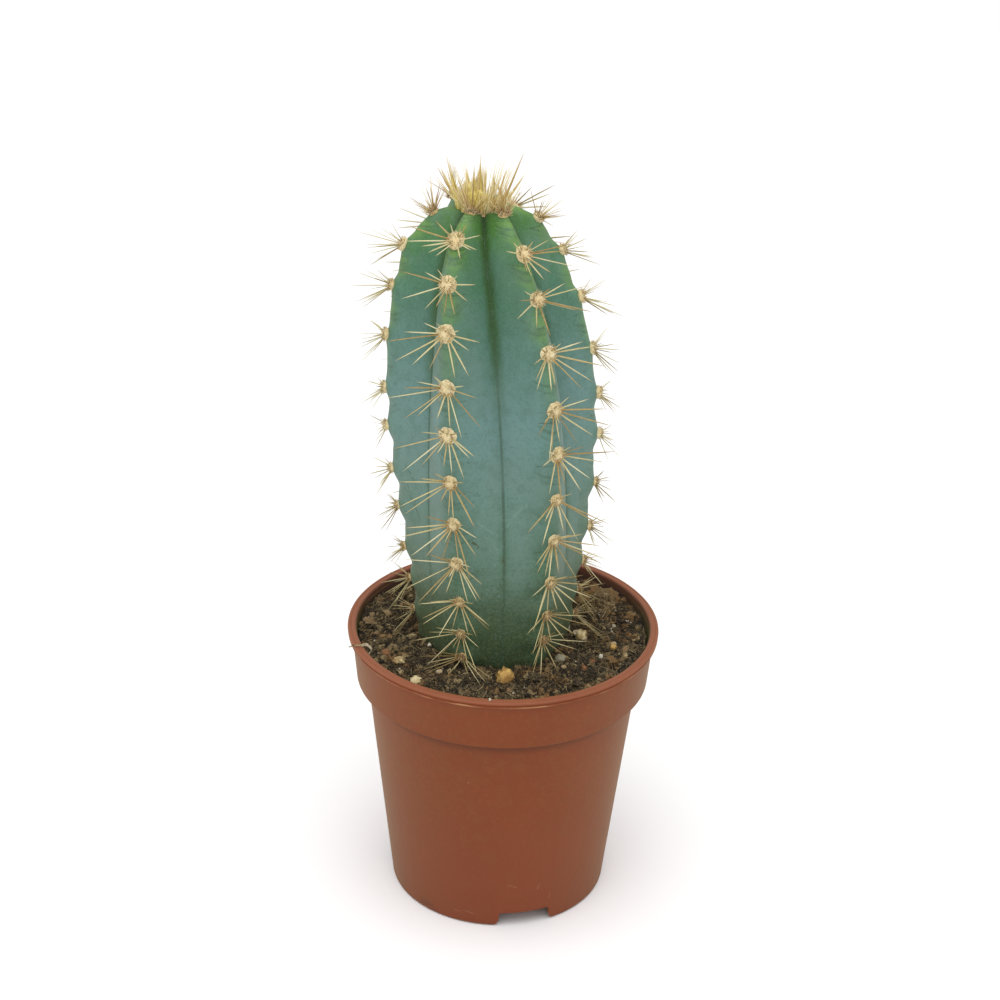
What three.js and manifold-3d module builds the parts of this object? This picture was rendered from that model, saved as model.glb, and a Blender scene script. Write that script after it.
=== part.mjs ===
// A blue columnar cactus in a small plastic nursery pot, filled with peaty potting mix.
// Millimetres, +Z up. The origin is where the pot's axis meets the ground, and the front faces -Y.
import * as THREE from "three";
import { mergeVertices } from "three/addons/utils/BufferGeometryUtils.js";
import Module from "manifold-3d";

const wasm = await Module();
wasm.setup();

// The pot: thin injected plastic with a wide band round its mouth
const rimRadius = 42.5;
const potHeight = 79.5;
const wall = 1.2;
const lipHeight = 1.9;
const bandTopRadius = 41.3;
const bandLowRadius = 40.0;
const bandLow = 64.2;
const bodyTopRadius = 37.2;
const bodyLowRadius = 30.0;
const footHeight = 4.5;
const footRounding = 1.0;
const roundSides = 48;
const notchCount = 3;
const notchAngle = THREE.MathUtils.degToRad(15);
const notchHalfWidth = 7.1;
const notchCorner = 2.4;
const drainRadius = 2.5;
const drainCount = 8;
const drainCircle = 21;

// The space that touching pieces keep, and the freer fit of the stem in its hole
const gap = 0.35;
const socketSlack = 0.7;

// The soil fills the pot up to just under the rim, with lumps of two sizes and one large clump
const soilLevel = 76.3;
const soilRings = 9;
const soilSides = 48;
const lumps = [{ cell: 9.3, height: 2.2 }, { cell: 4.7, height: 1.5 }];
const clump = { x: 29, y: 17, height: 2.2, reach: 5.5 };
const edgeDip = 0.8;

// The stem: the way each rib faces, in degrees from the front, a crest profile of radius and height,
// and the share of that radius that the grooves keep at a height
const ribTurns = [37, 93, 153, 213, 273, 337.5];
const crestProfile = [
  [0, 47], [7, 48.4], [13, 53], [17.2, 62], [20.1, 76], [22, 92], [24.5, 111], [26.5, 130],
  [27.1, 146], [26.1, 162], [23.5, 176], [19.5, 188], [14.2, 195.4], [9, 198.8], [4.5, 198.4], [0, 197.2],
];
const grooveShare = [
  [47, 0.98], [76, 0.95], [99, 0.9], [117, 0.83], [134, 0.755],
  [152, 0.69], [176, 0.6], [190, 0.52], [199, 0.44],
];
const crestRounding = 0.22;
const pillow = 0.35;
const tipFurrow = 1.6;
const stemRows = 42;
const flankSteps = [0, 0.2, 0.58, 1];

// Where the stem stands beside the pot's axis, and the heights between which it bends to the left
const standsAt = -2.5;
const leanFrom = 85;
const leanTo = 190;
const leanRate = 0.0005;

// Areoles: felt pads along each rib's crest, by how far they are from the tip
const areoles = [
  [7.8, 20.3, 31.7, 45.5, 60.4, 72.6, 85.6, 97.9, 110.9, 121.6, 129.5, 136.5],
  [14.3, 25.2, 38.4, 52.9, 65.4, 77.1, 91.3, 104.5, 115.1, 124.2, 131.6, 138],
  [18, 30, 42.2, 56, 69, 81.8, 94.3, 106.5, 118.4, 129, 137.8],
  [12.6, 24.6, 36.8, 50.6, 63.6, 76.4, 88.9, 101.1, 113, 123.6, 132.4],
  [11.9, 23.7, 35.4, 49.2, 64.1, 74.9, 87.3, 98.4, 110.7, 120.4, 130.1, 137],
  [7, 16.3, 27.5, 39.8, 53.9, 66.4, 79.6, 92, 104.1, 116.2, 126.4, 134.1],
];
const lowestAreole = soilLevel + 4.5;
const padRadius = 2.2;
const padHeight = 1.3;
const crestLift = 0.75;
const liftReach = 3.2;

// Spines: needles that fan out round each areole, by their turn from straight down and their length,
// and how long they grow on each rib
const fan = [[0, 9.5], [52, 13.5], [-52, 13.5], [108, 9.5], [-108, 9.5], [180, 4.5]];
const ribVigour = [1, 0.82, 0.9, 0.9, 0.82, 1];
const lowRise = THREE.MathUtils.degToRad(21);
const highRise = THREE.MathUtils.degToRad(34);
const youngFrom = 160;
const spineRadius = 0.42;
const spineRoot = 1.6;
const unevenLength = 0.12;
const unevenTurn = 0.13;
const spineClearance = 0.9;

// The crown: young felt and spines crowded on the tip
const tipHeight = 198.5;
const crownX = -8;
const crownRadius = 5.2;
const crownHeight = 2.4;
const crownSpines = 44;
const crownLength = 12.5;
const crownCone = 0.58;
const goldenTurn = Math.PI * (3 - Math.sqrt(5));

// Grit: loose stones that lie half sunk in the soil, by direction from the front, distance and size
const stoneStretch = [1.15, 0.9];
const grit = [
  { turn: 2, out: 25.8, size: 2.3, tall: 1.15 },
  { turn: -39, out: 35.8, size: 1.8, tall: 0.8 },
  { turn: -58, out: 32.5, size: 1.7, tall: 0.7 },
  { turn: 81, out: 21.6, size: 1.8, tall: 1.2 },
  { turn: 46, out: 21.8, size: 1.5, tall: 0.9 },
  { turn: 76, out: 31, size: 1.2, tall: 1 },
  { turn: 70, out: 35.2, size: 1.1, tall: 0.9 },
  { turn: 158, out: 31, size: 1.7, tall: 0.9 },
  { turn: -128, out: 30, size: 1.5, tall: 1 },
];

const colours = {
  pot: 0x86492f,
  soil: 0x3a2c20,
  stem: 0x5b8078,
  crown: 0xc9a75c,
  grit: 0xb58f52,
};

// A repeatable draw from 0 to 1 for three whole numbers
function draw(a, b, c) {
  const s = Math.sin(a * 12.9898 + b * 78.233 + c * 37.719) * 43758.5453;
  return s - Math.floor(s);
}

function spread(a, b, c, reach) {
  return (draw(a, b, c) * 2 - 1) * reach;
}

function smooth(x, low, high) {
  return THREE.MathUtils.smoothstep(x, low, high);
}

// Solids and meshes
function solidOf(geometry) {
  geometry.deleteAttribute("normal");
  geometry.deleteAttribute("uv");
  const merged = mergeVertices(geometry, 1e-4);
  return new wasm.Manifold(
    new wasm.Mesh({
      numProp: 3,
      vertProperties: new Float32Array(merged.attributes.position.array),
      triVerts: new Uint32Array(merged.index.array),
    }),
  );
}

function geometryOf(solid) {
  const { vertProperties, triVerts } = solid.getMesh();
  const geometry = new THREE.BufferGeometry();
  geometry.setAttribute("position", new THREE.BufferAttribute(vertProperties, 3));
  geometry.setIndex(new THREE.BufferAttribute(triVerts, 1));
  const flat = geometry.toNonIndexed();
  flat.computeVertexNormals();
  return flat;
}

function joined(solids) {
  let row = solids;
  while (row.length > 1) {
    const next = [];
    for (let i = 0; i < row.length; i += 2) next.push(i + 1 < row.length ? row[i].add(row[i + 1]) : row[i]);
    row = next;
  }
  return row[0];
}

function meshOf(name, solid, colour, roughness) {
  const material = new THREE.MeshStandardMaterial({ color: colour, roughness, metalness: 0 });
  const mesh = new THREE.Mesh(geometryOf(solid), material);
  mesh.name = name;
  return mesh;
}

// A lathe round +Z from [radius, height] points
function turned(points, sides) {
  const profile = points.map(([r, z]) => new THREE.Vector2(r, z));
  return new THREE.LatheGeometry(profile, sides).rotateX(Math.PI / 2);
}

// A closed skin over rows of points with a pole at each end; each row runs anticlockwise seen from above
function skin(low, rows, high) {
  const around = rows[0].length;
  const positions = [low, ...rows.flat(), high].flatMap((p) => [p.x, p.y, p.z]);
  const index = [];
  const at = (row, i) => 1 + row * around + (i % around);
  const last = 1 + rows.length * around;
  for (let i = 0; i < around; i++) {
    index.push(0, at(0, i + 1), at(0, i));
    index.push(last, at(rows.length - 1, i), at(rows.length - 1, i + 1));
    for (let row = 0; row + 1 < rows.length; row++) {
      index.push(at(row, i), at(row, i + 1), at(row + 1, i + 1));
      index.push(at(row, i), at(row + 1, i + 1), at(row + 1, i));
    }
  }
  const geometry = new THREE.BufferGeometry();
  geometry.setAttribute("position", new THREE.Float32BufferAttribute(positions, 3));
  geometry.setIndex(index);
  return geometry;
}

// The pot
const bodySlope = (bodyTopRadius - bodyLowRadius) / bandLow;

function innerWall(z) {
  if (z > bandLow + wall) {
    const share = (z - bandLow) / (potHeight - bandLow);
    return bandLowRadius + (bandTopRadius - bandLowRadius) * share - wall;
  }
  return bodyLowRadius + bodySlope * z - wall;
}

function potShell() {
  const shoulder = bandLow + wall;
  return solidOf(
    turned(
      [
        [bodyLowRadius - wall, 0],
        [bodyLowRadius - footRounding * 0.5, 0],
        [bodyLowRadius + bodySlope * footRounding, footRounding],
        [bodyTopRadius, bandLow],
        [bandLowRadius - 0.4, bandLow],
        [bandLowRadius, bandLow + 0.4],
        [bandTopRadius, potHeight - lipHeight],
        [rimRadius - 0.2, potHeight - lipHeight + 0.2],
        [rimRadius, potHeight - lipHeight + 0.6],
        [rimRadius, potHeight - 0.5],
        [rimRadius - 0.5, potHeight],
        [innerWall(potHeight) + 0.5, potHeight],
        [innerWall(potHeight), potHeight - 0.6],
        [innerWall(shoulder + 0.01), shoulder],
        [innerWall(shoulder), shoulder],
        [innerWall(footHeight + wall), footHeight + wall],
        [0, footHeight + wall],
        [0, footHeight],
        [innerWall(footHeight), footHeight],
        [bodyLowRadius - wall, 0],
      ],
      roundSides,
    ),
  );
}

function footNotch(turn) {
  const outline = new THREE.Shape();
  outline.moveTo(-notchHalfWidth - notchCorner, -1);
  outline.lineTo(-notchHalfWidth - notchCorner, 0);
  outline.quadraticCurveTo(-notchHalfWidth, 0, -notchHalfWidth, notchCorner);
  outline.lineTo(-notchHalfWidth, footHeight);
  outline.lineTo(notchHalfWidth, footHeight);
  outline.lineTo(notchHalfWidth, notchCorner);
  outline.quadraticCurveTo(notchHalfWidth, 0, notchHalfWidth + notchCorner, 0);
  outline.lineTo(notchHalfWidth + notchCorner, -1);
  outline.closePath();
  const cutter = new THREE.ExtrudeGeometry(outline, { depth: 16, bevelEnabled: false, curveSegments: 4 });
  cutter.rotateX(Math.PI / 2).translate(0, -18, 0).rotateZ(turn);
  return solidOf(cutter);
}

function drainHole(turn, out) {
  const drill = new THREE.CylinderGeometry(drainRadius, drainRadius, 6, 12).rotateX(Math.PI / 2);
  drill.translate(0, -out, footHeight).rotateZ(turn);
  return solidOf(drill);
}

function pot() {
  const quarter = (2 * Math.PI) / notchCount;
  const notches = Array.from({ length: notchCount }, (_, i) => footNotch(notchAngle + i * quarter));
  const drains = Array.from({ length: drainCount }, (_, i) =>
    drainHole(notchAngle + (i * 2 * Math.PI) / drainCount, drainCircle),
  );
  return potShell().subtract(joined([...notches, ...drains, drainHole(0, 0)]));
}

// The stem's form
const crestLine = new THREE.SplineCurve(crestProfile.map(([r, z]) => new THREE.Vector2(r, z)));
crestLine.arcLengthDivisions = 600;
const crestLength = crestLine.getLength();

function axisX(z) {
  return standsAt - leanRate * (THREE.MathUtils.clamp(z, leanFrom, leanTo) - leanFrom) ** 2;
}

function grooveAt(z) {
  const below = grooveShare.findLastIndex(([height]) => height <= z);
  const first = THREE.MathUtils.clamp(below, 0, grooveShare.length - 2);
  const [[z0, g0], [z1, g1]] = grooveShare.slice(first, first + 2);
  return THREE.MathUtils.mapLinear(THREE.MathUtils.clamp(z, z0, z1), z0, z1, g0, g1);
}

// How far a flank has fallen towards its groove, from 0 on the crest to 1 in the groove
function fall(share) {
  const soft = crestRounding;
  return (Math.hypot(share, soft) - soft) / (Math.hypot(1, soft) - soft);
}

// Half the turn between a rib and its neighbour on one side, in radians
function halfTurn(rib, side) {
  const next = ribTurns[(rib + side + ribTurns.length) % ribTurns.length];
  return THREE.MathUtils.degToRad(THREE.MathUtils.euclideanModulo(side * (next - ribTurns[rib]), 360) / 2);
}

// The share of the crest's radius on a flank, which is nearly straight from crest to groove
function flankShare(share, groove, half) {
  const turn = fall(share) * half;
  const slant = (1 / groove - Math.cos(half)) / Math.sin(half);
  const straight = 1 / (Math.cos(turn) + slant * Math.sin(turn));
  const full = 1 - (1 - groove) * fall(share);
  return THREE.MathUtils.lerp(straight, full, pillow);
}

// How far a crest stands out round its areoles
function liftAt(rib, down) {
  return areoles[rib].reduce((sum, s) => sum + Math.exp(-(((down - s) / liftReach) ** 2)), 0) * crestLift;
}

// A point of the stem: share runs from 0 on a crest to 1 in the groove on its right, or -1 on its left,
// and along from 0 at the buried end to 1 at the tip
function stemPoint(rib, share, along) {
  const crest = crestLine.getPointAt(along);
  const fallen = fall(Math.abs(share));
  const bumpy = (1 - fallen) ** 3 * smooth(crest.x, 2, 8) * smooth(crest.y, soilLevel - 6, soilLevel + 4);
  const lift = bumpy * liftAt(rib, crestLength * (1 - along));
  const half = halfTurn(rib, share < 0 ? -1 : 1);
  const radius = crest.x * flankShare(Math.abs(share), grooveAt(crest.y), half) + lift;
  const sink = tipFurrow * fallen * smooth(crest.y, tipHeight - 8, tipHeight) * smooth(crest.x, 0, 6);
  const turn = THREE.MathUtils.degToRad(ribTurns[rib]) + share * half;
  const x = axisX(crest.y) + radius * Math.sin(turn);
  return new THREE.Vector3(x, -radius * Math.cos(turn), crest.y - sink);
}

function stemSkin(raised = 0) {
  const rows = [];
  for (let row = 1; row < stemRows; row++) {
    const ring = [];
    for (let rib = 0; rib < ribTurns.length; rib++) {
      const next = (rib + 1) % ribTurns.length;
      for (const share of flankSteps.slice(0, -1)) ring.push(stemPoint(rib, share, row / stemRows));
      for (const share of flankSteps.slice(1).reverse()) ring.push(stemPoint(next, -share, row / stemRows));
    }
    rows.push(ring);
  }
  return solidOf(skin(stemPoint(0, 0, 0), rows, stemPoint(0, 0, 1)).translate(0, 0, raised));
}

// Where an areole sits, with its outward direction and the way down its rib
function areoleFrame(rib, down) {
  const along = 1 - down / crestLength;
  const at = stemPoint(rib, 0, along);
  const tangent = crestLine.getTangentAt(along);
  const turn = THREE.MathUtils.degToRad(ribTurns[rib]);
  const radial = new THREE.Vector3(Math.sin(turn), -Math.cos(turn), 0);
  const up = new THREE.Vector3(0, 0, 1);
  const outward = radial.clone().multiplyScalar(tangent.y).addScaledVector(up, -tangent.x);
  const downward = radial.clone().multiplyScalar(-tangent.x).addScaledVector(up, -tangent.y);
  return { at, outward, downward, sideways: downward.clone().cross(outward) };
}

// Smooth random lumps, from -0.5 to 0.5
function lattice(x, y, cell, seed) {
  const [i, j] = [Math.floor(x / cell), Math.floor(y / cell)];
  const [u, v] = [smooth(x / cell - i, 0, 1), smooth(y / cell - j, 0, 1)];
  const low = THREE.MathUtils.lerp(draw(i, j, seed), draw(i + 1, j, seed), u);
  const high = THREE.MathUtils.lerp(draw(i, j + 1, seed), draw(i + 1, j + 1, seed), u);
  return THREE.MathUtils.lerp(low, high, v) - 0.5;
}

function soilHeight(x, y) {
  const heap = clump.height * Math.exp(-(((x - clump.x) ** 2 + (y - clump.y) ** 2) / clump.reach ** 2));
  const dip = edgeDip * smooth(Math.hypot(x, y), 33, 40);
  const relief = lumps.map(({ cell, height }, i) => height * lattice(x, y, cell, i + 1));
  return soilLevel + heap - dip + relief[0] + relief[1];
}

// A stone's middle, a little above the soil
function stonePlace({ turn, out, size, tall }) {
  const angle = THREE.MathUtils.degToRad(turn);
  const [x, y] = [out * Math.sin(angle), -out * Math.cos(angle)];
  return new THREE.Vector3(x, y, soilHeight(x, y) + 0.25 * size * tall);
}

// The height that a spine has to clear: the soil's, or that of a stone on it
function clearHeight(x, y) {
  const tops = grit.map((stone) => {
    const place = stonePlace(stone);
    const near = Math.hypot(x - place.x, y - place.y) < stone.size * 1.3;
    return near ? place.z + stone.size * stone.tall : 0;
  });
  return Math.max(soilHeight(x, y), ...tops);
}

// The way out for a point of a spine that is too near the soil, the pot's rim or the crown
function pushAt(p) {
  const reach = Math.hypot(p.x, p.y);
  const lowest = reach > bodyTopRadius ? potHeight : clearHeight(p.x, p.y);
  if (p.z < lowest + spineClearance) return new THREE.Vector3(0, 0, 1);
  const aside = new THREE.Vector3(p.x - crownX, p.y, 0);
  const cone = crownRadius + spineClearance + crownCone * Math.max(0, p.z - tipHeight);
  return p.z > tipHeight - 8 && aside.length() < cone ? aside.normalize() : null;
}

// Turns a spine's direction until all of it is clear, or gives up and returns nothing
function steered(from, direction, length) {
  const way = direction.clone();
  const [tries, nudge] = [40, 0.12];
  for (let i = 0; i < tries; i++) {
    const reaches = [0.25, 0.4, 0.55, 0.7, 0.85, 1].map((share) => share * length);
    const push = reaches.map((reach) => pushAt(from.clone().addScaledVector(way, reach))).find(Boolean);
    if (!push) return way;
    way.addScaledVector(push, nudge).normalize();
  }
  return null;
}

// A three-sided needle that points along a direction, with its root sunk behind the start
function needle(from, direction, length) {
  const cone = new THREE.ConeGeometry(spineRadius, length + spineRoot, 3);
  cone.translate(0, (length + spineRoot) / 2 - spineRoot, 0);
  const turn = new THREE.Quaternion().setFromUnitVectors(new THREE.Vector3(0, 1, 0), direction);
  cone.applyQuaternion(turn).translate(from.x, from.y, from.z);
  return solidOf(cone);
}

// Spine number k of an areole: young spines near the tip stand up more than old ones
function spineOf(frame, rib, number, k) {
  const [turn, full] = fan[k];
  const around = THREE.MathUtils.degToRad(turn) + spread(rib, number, k, unevenTurn);
  const young = smooth(frame.at.z, youngFrom, tipHeight);
  const rise = THREE.MathUtils.lerp(lowRise, highRise, young) + spread(rib, number, k + 20, unevenTurn);
  const length = full * ribVigour[rib] * (1 + spread(rib, number, k + 40, unevenLength));
  const direction = frame.downward
    .clone()
    .multiplyScalar(Math.cos(rise) * Math.cos(around))
    .addScaledVector(frame.sideways, Math.cos(rise) * Math.sin(around))
    .addScaledVector(frame.outward, Math.sin(rise))
    .normalize();
  return { direction, length };
}

function areole(rib, number, down) {
  const frame = areoleFrame(rib, down);
  if (frame.at.z < lowestAreole) return [];
  const dome = new THREE.SphereGeometry(1, 6, 3).scale(padRadius, padHeight, padRadius);
  const turn = new THREE.Quaternion().setFromUnitVectors(new THREE.Vector3(0, 1, 0), frame.outward);
  dome.applyQuaternion(turn).translate(frame.at.x, frame.at.y, frame.at.z);
  const solids = [solidOf(dome)];
  const root = frame.at.clone().addScaledVector(frame.outward, 0.35 * padHeight);
  for (let k = 0; k < fan.length; k++) {
    const { direction, length } = spineOf(frame, rib, number, k);
    const way = steered(root, direction, length);
    if (way) solids.push(needle(root, way, length));
  }
  return solids;
}

function stem() {
  const solids = [stemSkin()];
  areoles.forEach((row, rib) => row.forEach((down, number) => solids.push(...areole(rib, number, down))));
  return joined(solids);
}

// A plain round hole that the buried foot of the stem stands in
function socket() {
  const foot = crestProfile.filter(([, z]) => z < soilLevel);
  const side = foot.map(([r, z]) => [r > 0 ? r + socketSlack : 0, z - gap]);
  const mouth = side[side.length - 1][0] + crestLift;
  const hole = turned([...side, [mouth, soilLevel + 12], [0, soilLevel + 12]], 36);
  return solidOf(hole.translate(standsAt, 0, 0));
}

// The soil: the pot's inside up to a rough top, with the stem's hole and a hollow under each stone
function soil(stones) {
  const floor = footHeight + wall + gap;
  const shoulder = bandLow + wall;
  const edgeHeights = [floor, shoulder + gap, shoulder + gap];
  const edgeRadii = [innerWall(floor) - gap, innerWall(shoulder) - gap, innerWall(shoulder + 1) - gap];
  const round = (radius, height) =>
    Array.from({ length: soilSides }, (_, i) => {
      const turn = (i / soilSides) * 2 * Math.PI;
      const [x, y] = [radius * Math.cos(turn), radius * Math.sin(turn)];
      return new THREE.Vector3(x, y, height ?? soilHeight(x, y));
    });
  const rows = edgeHeights.map((height, i) => round(edgeRadii[i], height));
  const widest = innerWall(soilLevel - 2) - gap;
  for (let ring = soilRings; ring > 0; ring--) rows.push(round((widest * ring) / soilRings));
  const low = new THREE.Vector3(0, 0, floor);
  const high = new THREE.Vector3(0, 0, soilHeight(0, 0));
  return solidOf(skin(low, rows, high)).subtract(joined([socket(), ...stones]));
}

// The crown: a low felt cushion with young spines, following the tip of the stem
function crown() {
  const cushion = new THREE.SphereGeometry(1, 12, 8).rotateX(Math.PI / 2);
  cushion.scale(crownRadius, crownRadius, crownHeight).translate(crownX, 0, tipHeight);
  const solids = [solidOf(cushion)];
  for (let k = 0; k < crownSpines; k++) {
    const share = Math.sqrt((k + 0.5) / crownSpines);
    const turn = k * goldenTurn + spread(k, 1, 7, unevenTurn);
    const out = share * (crownRadius - spineRoot);
    const lean = crownCone * share * (0.9 + spread(k, 2, 7, 0.1));
    const height = tipHeight + crownHeight * (0.8 - 0.55 * share ** 2);
    const from = new THREE.Vector3(crownX + out * Math.sin(turn), -out * Math.cos(turn), height);
    const direction = new THREE.Vector3(lean * Math.sin(turn), -lean * Math.cos(turn), 1).normalize();
    solids.push(needle(from, direction, crownLength * (1 - 0.35 * draw(k, 3, 7)) * (1 - 0.15 * share)));
  }
  return joined(solids).subtract(stemSkin(gap));
}

// A stone: a ball of few faces with its corners moved in and out, each by a draw from where it lies
function stone(which, number, grow = 0) {
  const { size, tall } = which;
  const [long, broad] = stoneStretch;
  const ball = new THREE.IcosahedronGeometry(1, 1);
  const points = ball.getAttribute("position");
  const p = new THREE.Vector3();
  for (let i = 0; i < points.count; i++) {
    p.fromBufferAttribute(points, i);
    const key = Math.round(p.x * 50) + Math.round(p.y * 50) * 7 + Math.round(p.z * 50) * 13;
    p.multiplyScalar(size * (0.84 + 0.26 * draw(key, number, 5)) + grow);
    points.setXYZ(i, p.x * long, p.y * broad, p.z * tall);
  }
  const place = stonePlace(which);
  ball.rotateZ(number * 1.3).translate(place.x, place.y, place.z);
  return solidOf(ball);
}

const plant = new THREE.Group();
plant.add(meshOf("pot", pot(), colours.pot, 0.5));
plant.add(meshOf("soil", soil(grit.map((which, i) => stone(which, i, gap))), colours.soil, 0.95));
plant.add(meshOf("cactus_stem", stem(), colours.stem, 0.6));
plant.add(meshOf("crown_tuft", crown(), colours.crown, 0.8));
grit.forEach((which, i) => plant.add(meshOf("grit_" + (i + 1), stone(which, i), colours.grit, 0.85)));

export default plant;
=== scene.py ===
"""A potted columnar cactus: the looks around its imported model, in metres, +Z up, its front towards -Y."""
import math
import random

import bpy
import numpy as np
from mathutils import Matrix, Vector, noise


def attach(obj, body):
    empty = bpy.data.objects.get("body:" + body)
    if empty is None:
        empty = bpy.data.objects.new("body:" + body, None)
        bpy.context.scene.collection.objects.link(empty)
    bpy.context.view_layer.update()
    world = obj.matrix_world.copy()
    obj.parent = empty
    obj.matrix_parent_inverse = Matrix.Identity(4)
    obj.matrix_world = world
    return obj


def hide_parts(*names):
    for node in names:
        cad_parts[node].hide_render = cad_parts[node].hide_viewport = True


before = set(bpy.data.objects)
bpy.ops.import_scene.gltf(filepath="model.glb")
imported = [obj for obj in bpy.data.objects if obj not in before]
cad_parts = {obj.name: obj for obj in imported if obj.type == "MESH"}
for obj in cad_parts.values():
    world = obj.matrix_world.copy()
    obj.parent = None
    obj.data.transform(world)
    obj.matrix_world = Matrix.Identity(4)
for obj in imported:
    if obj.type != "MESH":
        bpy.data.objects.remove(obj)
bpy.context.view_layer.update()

# Sizes are given in millimetres, and a mesh is brought to metres when it is finished
mm = 0.001

# Blender's vector noise starts from the clock unless it is given a seed
noise.seed_set(7)

# The camera, worked out from the ellipses of the pot's rim, collar and foot
CAMERA_PLACE = (0, -560 * mm, 395.3 * mm)
CAMERA_PITCH = math.radians(26.44)
CAMERA_YAW = math.radians(-0.17)
CAMERA_ROLL = math.radians(1.34)
CAMERA_LENS = 84.46

# The floor and the softbox, in metres and watts
FLOOR_SIZE = 6
FLOOR_LEVEL = -0.0002
LIGHT_PLACE = (-0.05, -0.45, 1.2)
LIGHT_TARGET = (0, 0, 0.1)
LIGHT_SIZE = 1.1
LIGHT_POWER = 7

# The pot
RIM_RADIUS = 42.5
POT_HEIGHT = 79.5
WALL = 1.2
LIP_HEIGHT = 1.9
LIP_LOW = POT_HEIGHT - LIP_HEIGHT
LIP_GROOVE = 0.3
COLLAR_TOP_RADIUS = 41.3
COLLAR_LOW_RADIUS = 40.0
COLLAR_LOW = 64.2
LEDGE = COLLAR_LOW + WALL
BODY_TOP_RADIUS = 37.2
BODY_LOW_RADIUS = 30.0
FOOT_HEIGHT = 4.5
NOTCHES = 3
NOTCH_TURN = math.radians(15)
NOTCH_HALF_WIDTH = 7.1
NOTCH_CORNER = 2.4
NOTCH_STEPS = 6
NOTCH_FROM = 18
NOTCH_DEPTH = 16
DRAINS = 8
DRAIN_RADIUS = 2.5
DRAIN_CIRCLE = 21
DRAIN_DEPTH = 6
POT_SIDES = 160

# Scratches on the pot's front: from (X, height) to (X, height), and their width
SCRATCHES = [
    ((-12.6, 7), (-12.8, 5.3), 0.3), ((-12.4, 3.6), (-8.9, 3.2), 0.3), ((-9.8, 4.3), (-5, 3), 0.32),
    ((-6, 2.8), (-4.7, 4.3), 0.25), ((2.7, 14.7), (6.3, 13.1), 0.28), ((11.2, 11.7), (12.2, 14.3), 0.3),
    ((14.5, 7), (15.1, 10.1), 0.25),
]

# Darker patches near its foot, given the same way
FOOT_DARK_PATCHES = [((-21.8, 2.2), (-16.2, 0.6), 1.9), ((-26.7, 3.1), (-26, 1.9), 0.8)]

# Marks on the stem's front, given the same way: pale veins, dark lines on the wrinkles that are painted shade
# in their folds, and scars
PALE_VEINS = [
    ((-2, 117.1), (-7.7, 123.3), 0.55), ((0.3, 119), (5.7, 126.6), 0.55), ((-1.6, 113), (-5.5, 118), 0.4),
]
WRINKLES = [
    ((-27.7, 130.9), (-23.3, 123.9), 0.3), ((-28.2, 126.5), (-25.2, 122), 0.3),
    ((-27.1, 122.9), (-22.6, 114.9), 0.35), ((-26.2, 128.8), (-21.9, 119.5), 0.25),
]
SCARS = [
    ((-8.9, 116.2), (-6.7, 113.9), 0.6), ((-0.65, 111), (-0.5, 108.2), 0.8),
    ((-13.4, 123.6), (-12, 122.6), 0.4),
]

# The skin's colour at heights up the stem
SKIN_TONES = [
    (76, (0.035, 0.053, 0.014)), (87, (0.042, 0.072, 0.028)), (98, (0.053, 0.104, 0.053)),
    (111, (0.074, 0.153, 0.1)), (130, (0.108, 0.203, 0.172)), (150, (0.112, 0.22, 0.204)),
    (172, (0.072, 0.17, 0.124)), (186, (0.055, 0.162, 0.08)), (194, (0.06, 0.168, 0.042)),
    (199, (0.058, 0.17, 0.018)),
]

# The soil: its level, its lumps as (cell, height), and one large clump at the back right
SOIL_LEVEL = 76.3
SOIL_LUMPS = [(9.3, 2.2), (4.7, 1.5)]
CLUMP_PLACE = (26, 18)
CLUMP_HEIGHT = 1.4
CLUMP_REACH = 5.5
EDGE_DIP = 0.3
LEFT_RISE = 1.4
RIGHT_RISE = 0.6
SOIL_SIDES = 440
SOIL_RINGS = 140
SOIL_GAP = 0.35

# Its crumbs, from clods to grains: how many, their least and greatest size, and their tint with its spread
CRUMBS = [(46, 1.2, 2.1, 0.33, 0.12), (880, 0.5, 1.1, 0.39, 0.17), (5300, 0.2, 0.5, 0.39, 0.17)]
FIBRES = 2900
CLUMP_SIZE = (4.9, 3.7, 2)
CLUMP_SPREAD = (5.1, 3.9)
CLUMP_CRUMBS = 700
PERLITE_GRAINS = 60
LIP_GRAIN = (-2.9, -41.1, POT_HEIGHT + 0.1)

# Chips as (X, Y, size, tint), white tufts as (X, Y, size), and the dead root that lies over the lip, with
# its thickness at each of its points
CHIPS = [
    (-4.9, -16.6, 2.1, 0.2), (-16.7, -22.2, 0.9, 0.85), (8, -23.6, 1.4, 0.95), (-31.3, -14.5, 1.4, 0.35),
    (20.5, -2.2, 1.4, 0.85), (29.8, -6.1, 1, 0.72), (-36.6, 1.6, 1.8, 0.6), (-23, -25, 0.8, 0.8),
    (2, -31, 0.9, 0.5), (22, -19, 1, 0.3), (33, -9.7, 1.2, 0.55), (-28, 12, 1.2, 0.5), (-12, 27, 1.1, 0.8),
    (13, 30, 1, 0.3), (35.6, 9.6, 1.3, 0.5), (-31.9, 5.8, 1.3, 0.62), (-34.3, -4.4, 1.1, 0.55),
    (-36.2, 6, 1, 0.6), (34.2, 6.2, 0.8, 0.85), (16.5, -19.5, 0.8, 0.7), (24.4, -14.8, 0.8, 0.3),
    (-20.8, -29, 0.7, 0.3),
]
WHITE_TUFTS = [(17.6, 1, 0.9), (30.4, 2.1, 0.7), (26.5, -13.2, 0.75), (-19.8, -9.8, 0.7)]
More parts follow.
